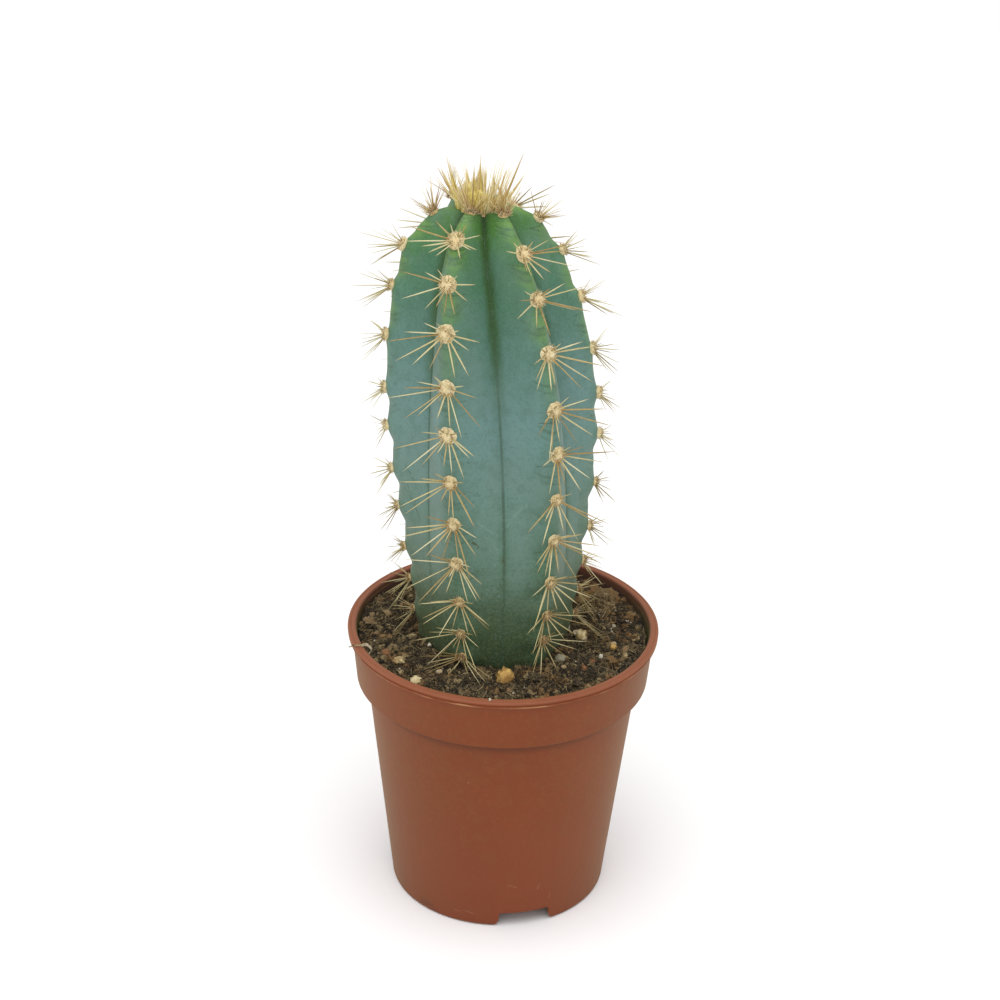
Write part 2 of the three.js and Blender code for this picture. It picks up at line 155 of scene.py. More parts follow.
ROOT_PATH = [
    (-41.4, -14.6, 78.8, 0.16), (-40.5, -15, 79.6, 0.2), (-39.6, -15.3, 79.9, 0.24),
    (-38.7, -15.4, 79.9, 0.26), (-37.9, -15.2, 79.8, 0.34), (-37.2, -14.5, 79.8, 0.46),
    (-36.4, -14, 79.5, 0.52), (-35.6, -14.1, 78.9, 0.5), (-35.1, -14.9, 78.4, 0.44),
    (-35.3, -15.9, 78, 0.3), (-36, -16.3, 77.9, 0.16),
]

# The stem: the way each rib faces, in degrees from the front, the crest's radius and height from the
# buried end to the tip, and the share of that radius which the grooves keep at a height
RIB_TURNS = [37, 93, 153, 213, 273, 337.5]
CREST_PROFILE = [
    (0, 47), (7, 48.4), (13, 53), (17.2, 62), (20.1, 76), (22, 92), (24.5, 111), (26.5, 130),
    (27.1, 146), (26.1, 162), (23.5, 176), (19.5, 188), (14.3, 195.8), (9.2, 199.4), (4.5, 198.6), (0, 197.2),
]
GROOVE_SHARE = [
    (47, 0.98), (76, 0.95), (99, 0.9), (117, 0.83), (134, 0.755),
    (152, 0.69), (176, 0.6), (190, 0.52), (199, 0.44),
]
CREST_ROUNDING = 0.3
PILLOW = 0.35
TIP_FURROW = 1.6
STANDS_AT = -2.5
LEAN_FROM = 85
LEAN_TO = 190
LEAN_RATE = 0.0005
FLANK_STEPS = [0, 0.05, 0.11, 0.18, 0.26, 0.35, 0.46, 0.58, 0.7, 0.81, 0.9, 0.96, 1]
STEM_ROWS = 250

# Areoles: how far down from the tip each rib's are, and how long the side ribs' spines are against the
# front ribs', at heights up the stem
AREOLE_PLACES = [
    [8.9, 20.9, 32.3, 46.1, 61, 73.2, 86.2, 98.5, 111.5, 122.2, 130.1, 137.1],
    [14.9, 25.8, 39, 53.5, 66, 77.7, 91.9, 105.1, 115.7, 124.8, 132.2, 138.6],
    [18.6, 30.6, 42.8, 56.6, 69.6, 82.4, 94.9, 107.1, 119, 129.6, 138.4],
    [13.2, 25.2, 37.4, 51.2, 64.2, 77, 89.5, 101.7, 113.6, 124.2, 133],
    [11.9, 24.3, 36, 49.8, 64.7, 75.5, 87.9, 99, 111.3, 121, 130.7, 137.6],
    [6.6, 16.9, 28.1, 40.4, 54.5, 67, 80.2, 92.6, 104.7, 116.8, 127, 134.7],
]
SIDE_RIBS = (1, 4)
SIDE_VIGOUR = [(80, 0.95), (94, 0.95), (102, 0.6), (150, 0.54), (168, 0.88)]
LOWEST_AREOLE = SOIL_LEVEL + 1.5
PAD_RADIUS = 2.5
PAD_HEIGHT = 1.15

# The crest stands out at an areole and has a dent near it: how far down from it, by the height of the stem
CREST_BUMP = 0.7
BUMP_REACH = 3
CREST_DENT = 0.45
DENT_REACH = 1.9
DENT_PLACE = [(142, 4.6), (172, -3.4)]

# Each rib's shoulder near the tip lies lower by this much, at a way down from the tip
SHOULDER_DROP = [0, 0.5, 0, 0, 0.9, 0]
SHOULDER_DOWN = 11.5
SHOULDER_REACH = 6

# Spines of an areole: (turn from straight down, length, rise above the skin), each but the first and
# last on both sides, then the central ones that stand up
RADIALS = [
    (3, 9.5, 30), (29, 12, 31), (51, 13.8, 33), (71, 14, 33), (92, 12.8, 33), (117, 8, 35), (146, 5, 44),
]
CENTRALS = [(20, 5, 58), (-160, 3.5, 62)]
MISSING = 0.05
NEWEST_SPINES = 22

# How unevenly they stand, in degrees, with a lift on the side ribs, and their share of the full thickness
FRONT_SPREAD = 7
SIDE_SPREAD = 15
SIDE_LIFT = 6.4
FRONT_THICKNESS = 0.95
SIDE_THICKNESS = 0.62
NEWEST_THICKNESS = 0.55
SPINE_RADIUS = 0.24
SPINE_CLEARANCE = 0.5

# The short hairs of the pads, and the heights from which areoles are young and newest
HAIRS_TO_A_PAD = 170
HAIR_RADIUS = 0.075
YOUNG_FROM = 160
NEWEST_FROM = 195.5

# A spine's, a hair's, a tuft's and a strand's rings, as (radius, height) of one that is 1 long
SPINE_RINGS = [(1, 0), (0.95, 0.3), (0.84, 0.58), (0.6, 0.8), (0.3, 0.93), (0.05, 1)]
HAIR_RINGS = [(1, 0), (0.7, 0.6), (0.05, 1)]
TUFT_RINGS = [(1, 0), (0.98, 0.16), (0.74, 0.32), (0.45, 0.48), (0.22, 0.66), (0.1, 0.83), (0.02, 1)]
FIBRE_RINGS = [(1, 0), (1, 0.4), (0.7, 0.75), (0.3, 1)]

# The crown of young felt and spines on the tip
TIP_HEIGHT = 198.5
CROWN_X = -8
CROWN_RADIUS = 5.2
CROWN_HEIGHT = 2.0
CROWN_CONE = 0.4
CROWN_MIDDLE = Vector((CROWN_X, 0, TIP_HEIGHT - 0.4))

# Its pointed tufts: X and Y of the foot and of the tip, from the crown's middle, the tip's height, the
# foot's radius and the number of spines round it
CROWN_TUFTS = [
    (-5.2, -0.8, -9.1, -1.2, 14.6, 1.0, 10), (-3.9, -1.8, -4.4, -2.4, 9.8, 1.1, 9),
    (-1.7, -2, -1.9, -2, 11.8, 1.3, 11), (-0.1, -1.4, -0.5, -1.2, 14.8, 1.2, 12),
    (2.4, -1.2, 3.0, -1.4, 10.8, 0.6, 8), (4.6, 0, 10.4, -0.4, 15.6, 0.3, 5), (5, 0.8, 11, 1.2, 9.6, 0.35, 6),
    (-5.6, 1, -10.6, 1.8, 10.6, 0.45, 7), (-2.8, 2.4, -4.2, 5, 9.6, 0.9, 9), (0.2, 2.6, 0.9, 6, 9.8, 0.8, 9),
    (3.2, 2.4, 6.2, 6.2, 9, 0.35, 7), (-1.2, 0.6, -1, 1.2, 10.4, 1.4, 10), (4, -1.6, 6.8, -3, 8.4, 0.3, 6),
]

# Its felt between them: X, Y and height of each lump's middle, its width and its tallness
CROWN_LUMPS = [
    (-3.8, -1.6, 1.6, 1.6, 3.8), (-2, -2.3, 1.8, 1.7, 4.3), (-0.3, -2, 1.6, 1.5, 4.1),
    (-2, 0.8, 1.6, 2.3, 4.6), (0.9, 0.6, 1.1, 1.5, 3.2), (-3.8, 1.4, 1.2, 1.8, 3.4),
    (-0.4, 2.6, 1, 1.7, 3.2),
]
SHORT_SPINES = 120
WISPS = 80
WISP_RADIUS = 0.085
WOOL_HAIRS = 320

# Stones: (turn from the front in degrees, distance from the pot's axis, size, tallness)
GRIT = [
    (2, 25.8, 2.3, 1.15), (-39, 35.8, 1.8, 0.8), (-58, 32.5, 1.7, 0.7), (81, 21.6, 1.8, 1.2),
    (46, 21.8, 1.5, 0.9), (76, 31, 0.9, 1), (70, 35.2, 0.85, 0.9), (158, 31, 1.7, 0.9), (-128, 30, 1.5, 1),
]


# Modelling

class Dice(random.Random):
    """Repeatable draws."""

    def turn(self):
        """Any turn, in radians."""
        return self.uniform(0, math.tau)


def select_only(piece):
    bpy.ops.object.select_all(action="DESELECT")
    piece.select_set(True)
    bpy.context.view_layer.objects.active = piece


def begin(primitive, name="model", **options):
    """A primitive at its size and place, all of it selected and nothing else."""
    bpy.ops.object.select_all(action="DESELECT")
    primitive(**options)
    piece = bpy.context.object
    piece.name = piece.data.name = name
    return piece


def settle(piece):
    """Brings a piece's place and turn into its mesh."""
    select_only(piece)
    bpy.ops.object.transform_apply(location=True, rotation=True, scale=True)
    return piece


def apply_modifier(piece, kind, **settings):
    modifier = piece.modifiers.new(kind.lower(), kind)
    for key, value in settings.items():
        setattr(modifier, key, value)
    select_only(piece)
    bpy.ops.object.modifier_apply(modifier=modifier.name)


def edit_all():
    """Enters edit mode with all of the active piece selected."""
    bpy.ops.object.mode_set(mode="EDIT")
    bpy.ops.mesh.select_all(action="SELECT")


def face_outwards():
    """Turns all faces outwards and leaves edit mode."""
    bpy.ops.mesh.select_all(action="SELECT")
    bpy.ops.mesh.normals_make_consistent(inside=False)
    bpy.ops.object.mode_set(mode="OBJECT")


def extrude(step, ratios):
    """Extrudes what is selected by a step and widens it along X, Y and Z, in edit mode."""
    bpy.ops.mesh.extrude_region_move(TRANSFORM_OT_translate={"value": step})
    bpy.ops.transform.resize(value=ratios)


def extrude_rings(rings, bend=0.0):
    """Extrudes the selected ring from each (radius, height) to the next, bending aside towards the last."""
    for (radius, height), (next_radius, next_height) in zip(rings, rings[1:]):
        ratio = next_radius / radius
        extrude((bend * (next_height ** 2 - height ** 2), 0, next_height - height), (ratio, ratio, 1))


def points_of(piece):
    points = np.empty(len(piece.data.vertices) * 3)
    piece.data.vertices.foreach_get("co", points)
    return points.reshape(-1, 3)


def set_points(piece, points):
    piece.data.vertices.foreach_set("co", np.asarray(points, float).ravel())
    piece.data.update()


def mark(piece, name, values):
    """Keeps a number for each vertex, which the materials read."""
    attribute = piece.data.attributes.new(name, "FLOAT", "POINT")
    attribute.data.foreach_set("value", np.asarray(values, np.float32).ravel())


def shade_smooth(piece):
    piece.data.polygons.foreach_set("use_smooth", [True] * len(piece.data.polygons))


def place_at(origin, direction, size, twist=0.0):
    """Where a model goes whose Z axis becomes a direction: a matrix, with the model's size in X, Y and Z."""
    turn = Vector(direction).to_track_quat("Z", "Y").to_matrix() @ Matrix.Rotation(twist, 3, "Z")
    return Matrix.LocRotScale(Vector(origin), turn.to_quaternion(), Vector(size))


def copies(name, placed, models, smooth=True):
    """One piece from copies of models, given as (model, place, tint), with the tint and the model's height
    kept, and the models taken away."""
    points, faces, tints, heights = [], [], [], []
    first = 0
    for model, place, tint in placed:
        shape = points_of(model)
        matrix = np.array(place)
        points.append(shape @ matrix[:3, :3].T + matrix[:3, 3])
        faces += [[first + i for i in face.vertices] for face in model.data.polygons]
        tints.append(np.full(len(shape), tint))
        heights.append(shape[:, 2])
        first += len(shape)
    mesh = bpy.data.meshes.new(name)
    mesh.from_pydata(np.concatenate(points) * mm, [], faces)
    piece = bpy.data.objects.new(name, mesh)
    bpy.context.scene.collection.objects.link(piece)
    mark(piece, "tint", np.concatenate(tints))
    mark(piece, "height", np.concatenate(heights))
    if smooth:
        shade_smooth(piece)
    for model in models:
        bpy.data.objects.remove(model)
    return piece


def hand_over(piece, slot, material, *nodes):
    """The piece rides with the plant, takes the material and stands for its nodes; the slot is not used."""
    piece.data.materials.clear()
    piece.data.materials.append(material)
    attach(piece, "root")
    if nodes:
        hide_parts(*nodes)


# Shader maths

class Wire:
    """A shader socket whose sums and products are Math nodes."""

    def __init__(self, shader, socket):
        self.shader = shader
        self.socket = socket

    def math(self, operation, *values):
        return self.shader.add("ShaderNodeMath", {"operation": operation}, dict(enumerate(values)))

    def __add__(self, other):
        return self.math("ADD", self, other)

    def __sub__(self, other):
        return self.math("SUBTRACT", self, other)

    def __rsub__(self, other):
        return self.math("SUBTRACT", other, self)

    def __mul__(self, other):
        return self.math("MULTIPLY", self, other)

    def __truediv__(self, other):
        return self.math("DIVIDE", self, other)

    def __pow__(self, power):
        return self.math("POWER", self, power)

    def __abs__(self):
        return self.math("ABSOLUTE", self)

    __radd__ = __add__
    __rmul__ = __mul__

    def under(self, limit):
        return self.math("LESS_THAN", self, limit)

    def ease(self, low, high):
        """0 below low and 1 above high, or the other way round where high is the lower one."""
        sockets = {"Value": self, "From Min": low, "From Max": high}
        return self.shader.add("ShaderNodeMapRange", {"interpolation_type": "SMOOTHSTEP"}, sockets)


class Shader:
    """The nodes of one material, round its Principled shader, with the colour as painted so far."""

    def __init__(self, name):
        self.material = bpy.data.materials.new(name)
        self.material.use_nodes = True
        self.tree = self.material.node_tree
        self.place = self.add("ShaderNodeTexCoord", {}, {}, "Object")
        self.colour = None

    def add(self, kind, settings, sockets, output=0):
        """A node of any type: its settings first, then the values and links of its sockets."""
        node = self.tree.nodes.new(kind)
        for key, value in settings.items():
            if key == "stops":
                self.set_stops(node.color_ramp, value)
            else:
                setattr(node, key, value)
        self.feed(node, sockets)
        return Wire(self, node.outputs[output])

    def feed(self, node, sockets):
        for key, value in sockets.items():
            socket = node.inputs[key]
            if isinstance(value, Wire):
                self.tree.links.new(value.socket, socket)
            elif socket.type == "RGBA":
                socket.default_value = (*value, 1)
            else:
                socket.default_value = value

    def set_stops(self, ramp, stops):
        while len(ramp.elements) < len(stops):
            ramp.elements.new(0.5)
        for element, (position, colour) in zip(ramp.elements, stops):
            element.position = position
            element.color = (*colour, 1)

    def surface(self, **sockets):
        """The finished material: what is painted, and its other sockets by their names."""
        names = {"ior": "IOR", "specular_ior_level": "Specular IOR Level"}
        titled = {names.get(key, key.replace("_", " ").title()): value for key, value in sockets.items()}
        self.feed(self.tree.nodes["Principled BSDF"], {"Base Color": self.colour, **titled})
        return self.material

    def noise(self, scale, detail=2.0, roughness=0.5, where=None):
        sockets = {"Vector": where or self.place, "Scale": scale, "Detail": detail, "Roughness": roughness}
        return self.add("ShaderNodeTexNoise", {}, sockets)

    def streaks(self, scales, detail, roughness=0.5):
        """Noise with a scale for each axis, so that it is longer one way."""
        where = self.add("ShaderNodeMapping", {}, {"Vector": self.place, "Scale": scales})
        return self.noise(1, detail, roughness, where)

    def spots(self, scale, size, share):
        """Round spots in some of the cells of a grid: size in cells, share of the cells that have one."""
        sockets = {"Vector": self.place, "Scale": scale}
        distance = self.add("ShaderNodeTexVoronoi", {}, sockets, "Distance")
        cell = self.add("ShaderNodeTexVoronoi", {}, sockets, "Color")
        chosen = self.add("ShaderNodeSeparateColor", {}, {0: cell})
        return distance.ease(size, size * 0.5) * chosen.under(share)

    def along(self, axis):
        """How far a point is along X, Y or Z, in millimetres."""
        return self.add("ShaderNodeSeparateXYZ", {}, {0: self.place}, "XYZ".index(axis)) / mm

    def scratch(self, start, end, width):
        """A line on the pot's front from one (X, height) to another, in millimetres."""
        line = Vector(end) - Vector(start)
        along = line.normalized()
        x, z = self.along("X") - start[0], self.along("Z") - start[1]
        reach = x * along[0] + z * along[1]
        curve = reach * (line.length - reach) * (0.25 / line.length)
        off = abs(x * -along[1] + z * along[0] - curve)
        inside = reach.ease(0, 0.6) * reach.ease(line.length, line.length - 0.6)
        broken = self.noise(700, 2).ease(0.4, 0.6)
        return off.ease(width, width * 0.3) * inside * broken * self.along("Y").ease(0, -1)

    def kept(self, name):
        return self.add("ShaderNodeAttribute", {"attribute_name": name}, {}, "Fac")

    def mix(self, factor, below, above):
        return self.add("ShaderNodeMix", {"data_type": "RGBA"}, {0: factor, 6: below, 7: above}, 2)

    def paint(self, mask, tone):
        """Lays a colour over what is painted, as far as a mask covers it."""
        self.colour = self.mix(mask, self.colour, tone)

    def paint_lines(self, lines, strength, tone):
        """Paints lines on the front, given as (start, end, width)."""
        for start, end, width in lines:
            self.paint(self.scratch(start, end, width) * strength, tone)

    def ramp(self, value, stops):
        return self.add("ShaderNodeValToRGB", {"stops": stops}, {0: value})

    def bump(self, height, depth):
        return self.add("ShaderNodeBump", {}, {"Height": height, "Distance": depth * mm, "Strength": 1})


def pot_plastic():
    shader = Shader("pot_plastic")
    cloud = shader.noise(22, 3)
    shader.colour = shader.mix(cloud.ease(0.35, 0.65), (0.176, 0.0365, 0.0088), (0.196, 0.0415, 0.011))
    patches = shader.noise(240, 3, 0.6).ease(0.46, 0.62)
    shader.paint(patches * 0.28, (0.168, 0.052, 0.0125))
    grain = shader.noise(900, 2).ease(0.45, 0.8)
    shader.paint(grain * 0.3, (0.25, 0.06, 0.02))
    specks = shader.spots(170, 0.055, 0.1)
    shader.paint(specks * 0.85, (0.04, 0.014, 0.008))
    dust = shader.spots(240, 0.05, 0.05)
    shader.paint(dust * 0.5, (0.45, 0.27, 0.17))
    shader.paint_lines(SCRATCHES, 0.42, (0.42, 0.25, 0.16))
    # Darker patches near the foot
    shader.paint_lines(FOOT_DARK_PATCHES, 0.9, (0.05, 0.018, 0.01))
    height = shader.along("Z")
    shader.paint(height.ease(50, 8) * 0.6, (0.183, 0.041, 0.017))
    # Painted highlight: the rim's top is painted lighter, unevenly along it
    rim_top_highlight = height.ease(POT_HEIGHT - 0.9, POT_HEIGHT - 0.3) * (0.4 + cloud * 0.5)
    shader.paint(rim_top_highlight * 0.58, (0.345, 0.135, 0.08))
    # Painted shade on the body just under the collar's ledge
    under_collar_shade = height.ease(COLLAR_LOW - 4.5, COLLAR_LOW - 1.8) * height.under(COLLAR_LOW - 0.05)
    shader.paint(under_collar_shade * 0.5, (0.07, 0.018, 0.008))
    shade = height.ease(LIP_LOW - 1.2, LIP_LOW) * height.under(LIP_LOW)
    shader.paint(shade * 0.2, (0.09, 0.022, 0.01))
    # A pale broken line along the lip's lower edge: scuffs, and partly a painted highlight on that edge
    patchy = shader.streaks((70, 70, 900), 4, 0.7).ease(0.47, 0.62)
    scuffs_and_highlight = abs(height - LIP_LOW - 0.3).ease(0.45, 0.15) * patchy
    shader.paint(scuffs_and_highlight * 0.6, (0.5, 0.27, 0.13))
    x, y = shader.along("X"), shader.along("Y")
    # Painted shade on the pot's inner wall, darker further down towards the soil, with some dirt
    inside = ((x * x + y * y) ** 0.5).ease(RIM_RADIUS - 1.95, RIM_RADIUS - 2.3) * height.ease(71, 72.5)
    shader.paint(inside * (0.45 + 0.4 * height.ease(POT_HEIGHT, SOIL_LEVEL)), (0.068, 0.04, 0.036))
    return shader.surface(roughness=0.5 + cloud * 0.1, specular_ior_level=0.2, sheen_weight=0.055,
                          sheen_roughness=0.5, sheen_tint=(0.4, 1, 0.12),
                          normal=shader.bump(shader.noise(420, 3), 0.03))


def peat(name, stops):
    """Soil by the tint of its crumbs, from the damp dark ones to dry fibre; on the soil bed a low tint is
    painted shade in its clefts.
    """
    shader = Shader(name)
    fine, coarse = shader.noise(1500, 4, 0.65), shader.noise(260, 3)
    value = shader.kept("tint") + (fine - 0.5) * 0.75 + (coarse - 0.5) * 0.35
    shader.colour = shader.ramp(value, stops)
    rusty = shader.noise(120, 3, 0.6).ease(0.47, 0.63) * value.ease(0.25, 0.5)
    shader.paint(rusty * 0.62, (0.22, 0.105, 0.034))
    relief = shader.noise(2200, 4, 0.7)
    return shader.surface(roughness=0.92, specular_ior_level=0.2, normal=shader.bump(relief, 0.25))


def stem_skin():
    """Blue skin by its height, with marks by how far a point is from its crest, groove and areole."""
    shader = Shader("stem_skin")
    height = shader.along("Z")
    from_groove = shader.kept("from_groove")
    from_crest = shader.kept("from_crest")
    below = shader.kept("below_areole")
    blotch = shader.noise(110, 3, 0.6)
    wavering = height + (blotch - 0.5) * 14
    low, high = 70, 200
    stops = [((z - low) / (high - low), tone) for z, tone in SKIN_TONES]
    shader.colour = shader.ramp((wavering - low) / (high - low), stops)

    young = height.ease(150, 186)
    wander = shader.noise(130, 3)
    on_crest = from_crest.ease(5, 1)
    between = abs(below + 6).ease(4.5, 1.5)
    shader.paint(on_crest * between * young * 0.6, (0.15, 0.285, 0.028))
    shader.paint(on_crest * 0.25, (0.078, 0.18, 0.095))
    # Painted highlight along the crests near the top
    edge = from_crest.ease(2.8, 0.6) * height.ease(142, 172)
    shader.paint(edge * 0.26, (0.165, 0.31, 0.06))
    pale = from_groove.ease(9, 3) * from_groove.ease(0.6, 2) * height.ease(92, 110) * height.ease(160, 140)
    shader.paint(pale * 0.3, (0.145, 0.235, 0.215))
    # Painted shade along the groove: a dark band near the top, which is partly skin with less bloom, and a
    # dark line in the groove itself
    groove_shade_band = (from_groove + (wander - 0.5) * 1.5).ease(3.1, 0.5) * height.ease(140, 178)
    shader.paint(groove_shade_band * 0.84, (0.034, 0.088, 0.013))
    line = from_groove.ease(0.6, 0.15)
    shader.paint(line * 0.66, shader.mix(young, (0.025, 0.055, 0.026), (0.02, 0.055, 0.008)))

    bent = below + from_crest * from_crest * 0.07 + (wander - 0.5) * 3
    folds = abs(bent + 6.2).ease(0.6, 0.05) + abs(bent + 4.4).ease(0.45, 0.05) * 0.6
    broken = shader.noise(170, 2).ease(0.38, 0.52) * from_crest.ease(6, 3.2)
    crease = folds * broken
    # The creases are painted darker as well as sunk by the bump: painted shade in them
    shader.paint(crease * 0.45, (0.036, 0.085, 0.045))
    near = abs(bent + 5.3).ease(2.4, 0.6) * from_crest.ease(5.5, 2.5)
    stain = near * shader.noise(210, 3, 0.7).ease(0.42, 0.62)
    shader.paint(stain * 0.4, (0.042, 0.105, 0.06))
    flecks = shader.streaks((230, 230, 640), 3, 0.6).ease(0.64, 0.72)
    near = from_crest.ease(11, 3) * from_crest.ease(1, 2.5)
    shader.paint(flecks * near * 0.35, (0.036, 0.08, 0.042))

    mottle = shader.noise(300, 4, 0.68)
    shader.paint(mottle.ease(0.52, 0.36) * 0.24, (0.045, 0.105, 0.06))
    shader.paint(mottle.ease(0.54, 0.7) * 0.2, (0.16, 0.25, 0.22))
    speckle = shader.noise(2400, 2, 0.6).ease(0.45, 0.75)
    shader.paint(speckle * 0.16, (0.2, 0.3, 0.27))
    granules = shader.noise(1500, 2, 0.7).ease(0.5, 0.64) * height.ease(114, 92)
    shader.paint(granules * 0.4, (0.125, 0.17, 0.095))
    dark_grain = shader.noise(1100, 2, 0.7).ease(0.5, 0.36) * (0.5 + height.ease(116, 95))
    shader.paint(dark_grain * 0.3, (0.03, 0.06, 0.028))
    bloom = shader.streaks((160, 160, 30), 3).ease(0.5, 0.72) * height.ease(88, 112)
    shader.paint(bloom * 0.22, (0.17, 0.27, 0.25))
    dull = shader.noise(58, 4, 0.6).ease(0.45, 0.68) * height.ease(86, 104)
    shader.paint(dull * 0.3, (0.115, 0.18, 0.145))
    shader.paint_lines(PALE_VEINS, 0.3, (0.18, 0.28, 0.25))
    # Painted shade in the wrinkles' folds
    shader.paint_lines(WRINKLES, 0.5, (0.05, 0.085, 0.06))
    shader.paint_lines(SCARS, 0.8, (0.045, 0.055, 0.022))
    specks = shader.spots(95, 0.05, 0.14)
    shader.paint(specks * 0.7, (0.06, 0.055, 0.028))
    relief = shader.noise(700, 3, 0.6) - crease * 1.6
    return shader.surface(roughness=0.5 + blotch * 0.1, specular_ior_level=0.28, sheen_weight=0.05,
                          sheen_roughness=0.5, sheen_tint=(1, 0.6, 0.3), normal=shader.bump(relief, 0.06))


def areole_wool():
    shader = Shader("areole_wool")
    tuft = shader.noise(1300, 3, 0.7)
    shader.colour = shader.ramp(shader.kept("tint") + (tuft - 0.5) * 0.55, [
        (0, (0.34, 0.15, 0.055)), (0.3, (0.5, 0.33, 0.145)), (0.55, (0.63, 0.48, 0.235)),
        (0.8, (0.73, 0.61, 0.355)), (1, (0.83, 0.77, 0.56)),
    ])
    rust = shader.noise(620, 2, 0.4).ease(0.6, 0.72)
    shader.paint(rust * 0.5, (0.5, 0.27, 0.1))
    return shader.surface(roughness=0.95, specular_ior_level=0.2, sheen_weight=0.2,
                          normal=shader.bump(tuft, 0.4))


def spine_horn(name, stops, foot, point):
    """Spines: a colour by their tint, a foot and a point of other colours."""
    shader = Shader(name)
    streak = shader.noise(1100, 2)
    shader.colour = shader.ramp(shader.kept("tint") + (streak - 0.5) * 0.5, stops)
    reach = shader.kept("height")
    shader.paint(reach.ease(0.22, 0.04) * 0.7, foot)
    shader.paint(reach.ease(0.8, 1.0) * 0.6, point)
    return shader.surface(roughness=0.42, ior=1.5)


def golden_felt():
    """Felt of young spines pressed together, with streaks that run up it."""
    shader = Shader("golden_felt")
    streak = shader.streaks((1500, 1500, 260), 3, 0.65)
    shader.colour = shader.ramp(streak + (shader.kept("tint") - 0.5) * 0.15, [
        (0.25, (0.36, 0.26, 0.05)), (0.45, (0.56, 0.44, 0.1)),
        (0.62, (0.69, 0.57, 0.18)), (0.8, (0.8, 0.72, 0.38)),
    ])
    return shader.surface(roughness=0.8, specular_ior_level=0.25, sheen_weight=0.2,
                          normal=shader.bump(streak, 0.3))


def stone(name, light, dark):
    shader = Shader(name)
    vein = shader.noise(420, 4, 0.65)
    shader.colour = shader.mix(vein.ease(0.38, 0.62), dark, light)
    dirt = shader.noise(900, 3, 0.7).ease(0.55, 0.75)
    shader.paint(dirt * 0.5, (0.06, 0.042, 0.022))
    return shader.surface(roughness=0.75, normal=shader.bump(shader.noise(1200, 4, 0.7), 0.2))


def chip_flakes():
    """Rusty bark at a low tint, cream stone at a high one."""
    shader = Shader("chip_flakes")
    vein = shader.noise(500, 4, 0.65)
    shader.colour = shader.ramp(shader.kept("tint") + (vein - 0.5) * 0.35, [
        (0, (0.08, 0.028, 0.012)), (0.3, (0.21, 0.08, 0.026)), (0.55, (0.2, 0.125, 0.055)),
        (0.8, (0.42, 0.31, 0.16)), (1, (0.66, 0.62, 0.5)),
    ])
    return shader.surface(roughness=0.8, normal=shader.bump(shader.noise(1500, 4, 0.7), 0.2))


# The pot

BODY_SLOPE = (BODY_TOP_RADIUS - BODY_LOW_RADIUS) / COLLAR_LOW


def inner_wall(z):
    if z > LEDGE:
        share = (z - COLLAR_LOW) / (POT_HEIGHT - COLLAR_LOW)
        return COLLAR_LOW_RADIUS + (COLLAR_TOP_RADIUS - COLLAR_LOW_RADIUS) * share - WALL
    return BODY_LOW_RADIUS + BODY_SLOPE * z - WALL


def rounded(corners, steps=3):
    """A profile of (radius, height, rounding) corners, with each rounded corner as a short arc."""
    profile = []
    for i, (radius, height, rounding) in enumerate(corners):
        at = Vector((radius, height))
        if not rounding:
            profile.append(tuple(at))
            continue
        before = Vector(corners[i - 1][:2]) - at
        after = Vector(corners[i + 1][:2]) - at
        start = at + before.normalized() * min(rounding, before.length / 2)
        end = at + after.normalized() * min(rounding, after.length / 2)
        for step in range(steps + 1):
            t = step / steps
            profile.append(tuple(start * (1 - t) ** 2 + at * 2 * t * (1 - t) + end * t ** 2))
    return profile


def pot_profile():
    floor_top = FOOT_HEIGHT + WALL
    return rounded([
        (DRAIN_RADIUS, FOOT_HEIGHT, 0),
        (inner_wall(FOOT_HEIGHT), FOOT_HEIGHT, 0.3),
        (BODY_LOW_RADIUS - WALL, 0, 0.3),
        (BODY_LOW_RADIUS, 0, 0.7),
        (BODY_TOP_RADIUS, COLLAR_LOW, 0.5),
        (COLLAR_LOW_RADIUS, COLLAR_LOW, 0.25),
        (COLLAR_TOP_RADIUS, LIP_LOW, 0.2),
        (RIM_RADIUS - 0.1, LIP_LOW + 0.05, 0.2),
        (RIM_RADIUS - 0.1, LIP_LOW + 0.6, 0.2),
        (RIM_RADIUS - LIP_GROOVE, LIP_LOW + 0.75, 0.08),
        (RIM_RADIUS - LIP_GROOVE, LIP_LOW + 0.85, 0.08),
        (RIM_RADIUS, LIP_LOW + 1.05, 0.2),
        (RIM_RADIUS, POT_HEIGHT - 0.15, 0.55),
        (RIM_RADIUS - 0.75, POT_HEIGHT, 0.3),
        (RIM_RADIUS - 0.95, POT_HEIGHT - 0.22, 0.15),
        (RIM_RADIUS - 1.2, POT_HEIGHT, 0.2),
        (inner_wall(POT_HEIGHT), POT_HEIGHT, 0.6),
        (inner_wall(LEDGE + 0.01), LEDGE, 0.4),
        (inner_wall(LEDGE), LEDGE, 0.3),
        (inner_wall(floor_top), floor_top, 0.8),
        (DRAIN_RADIUS, floor_top, 0),
    ])


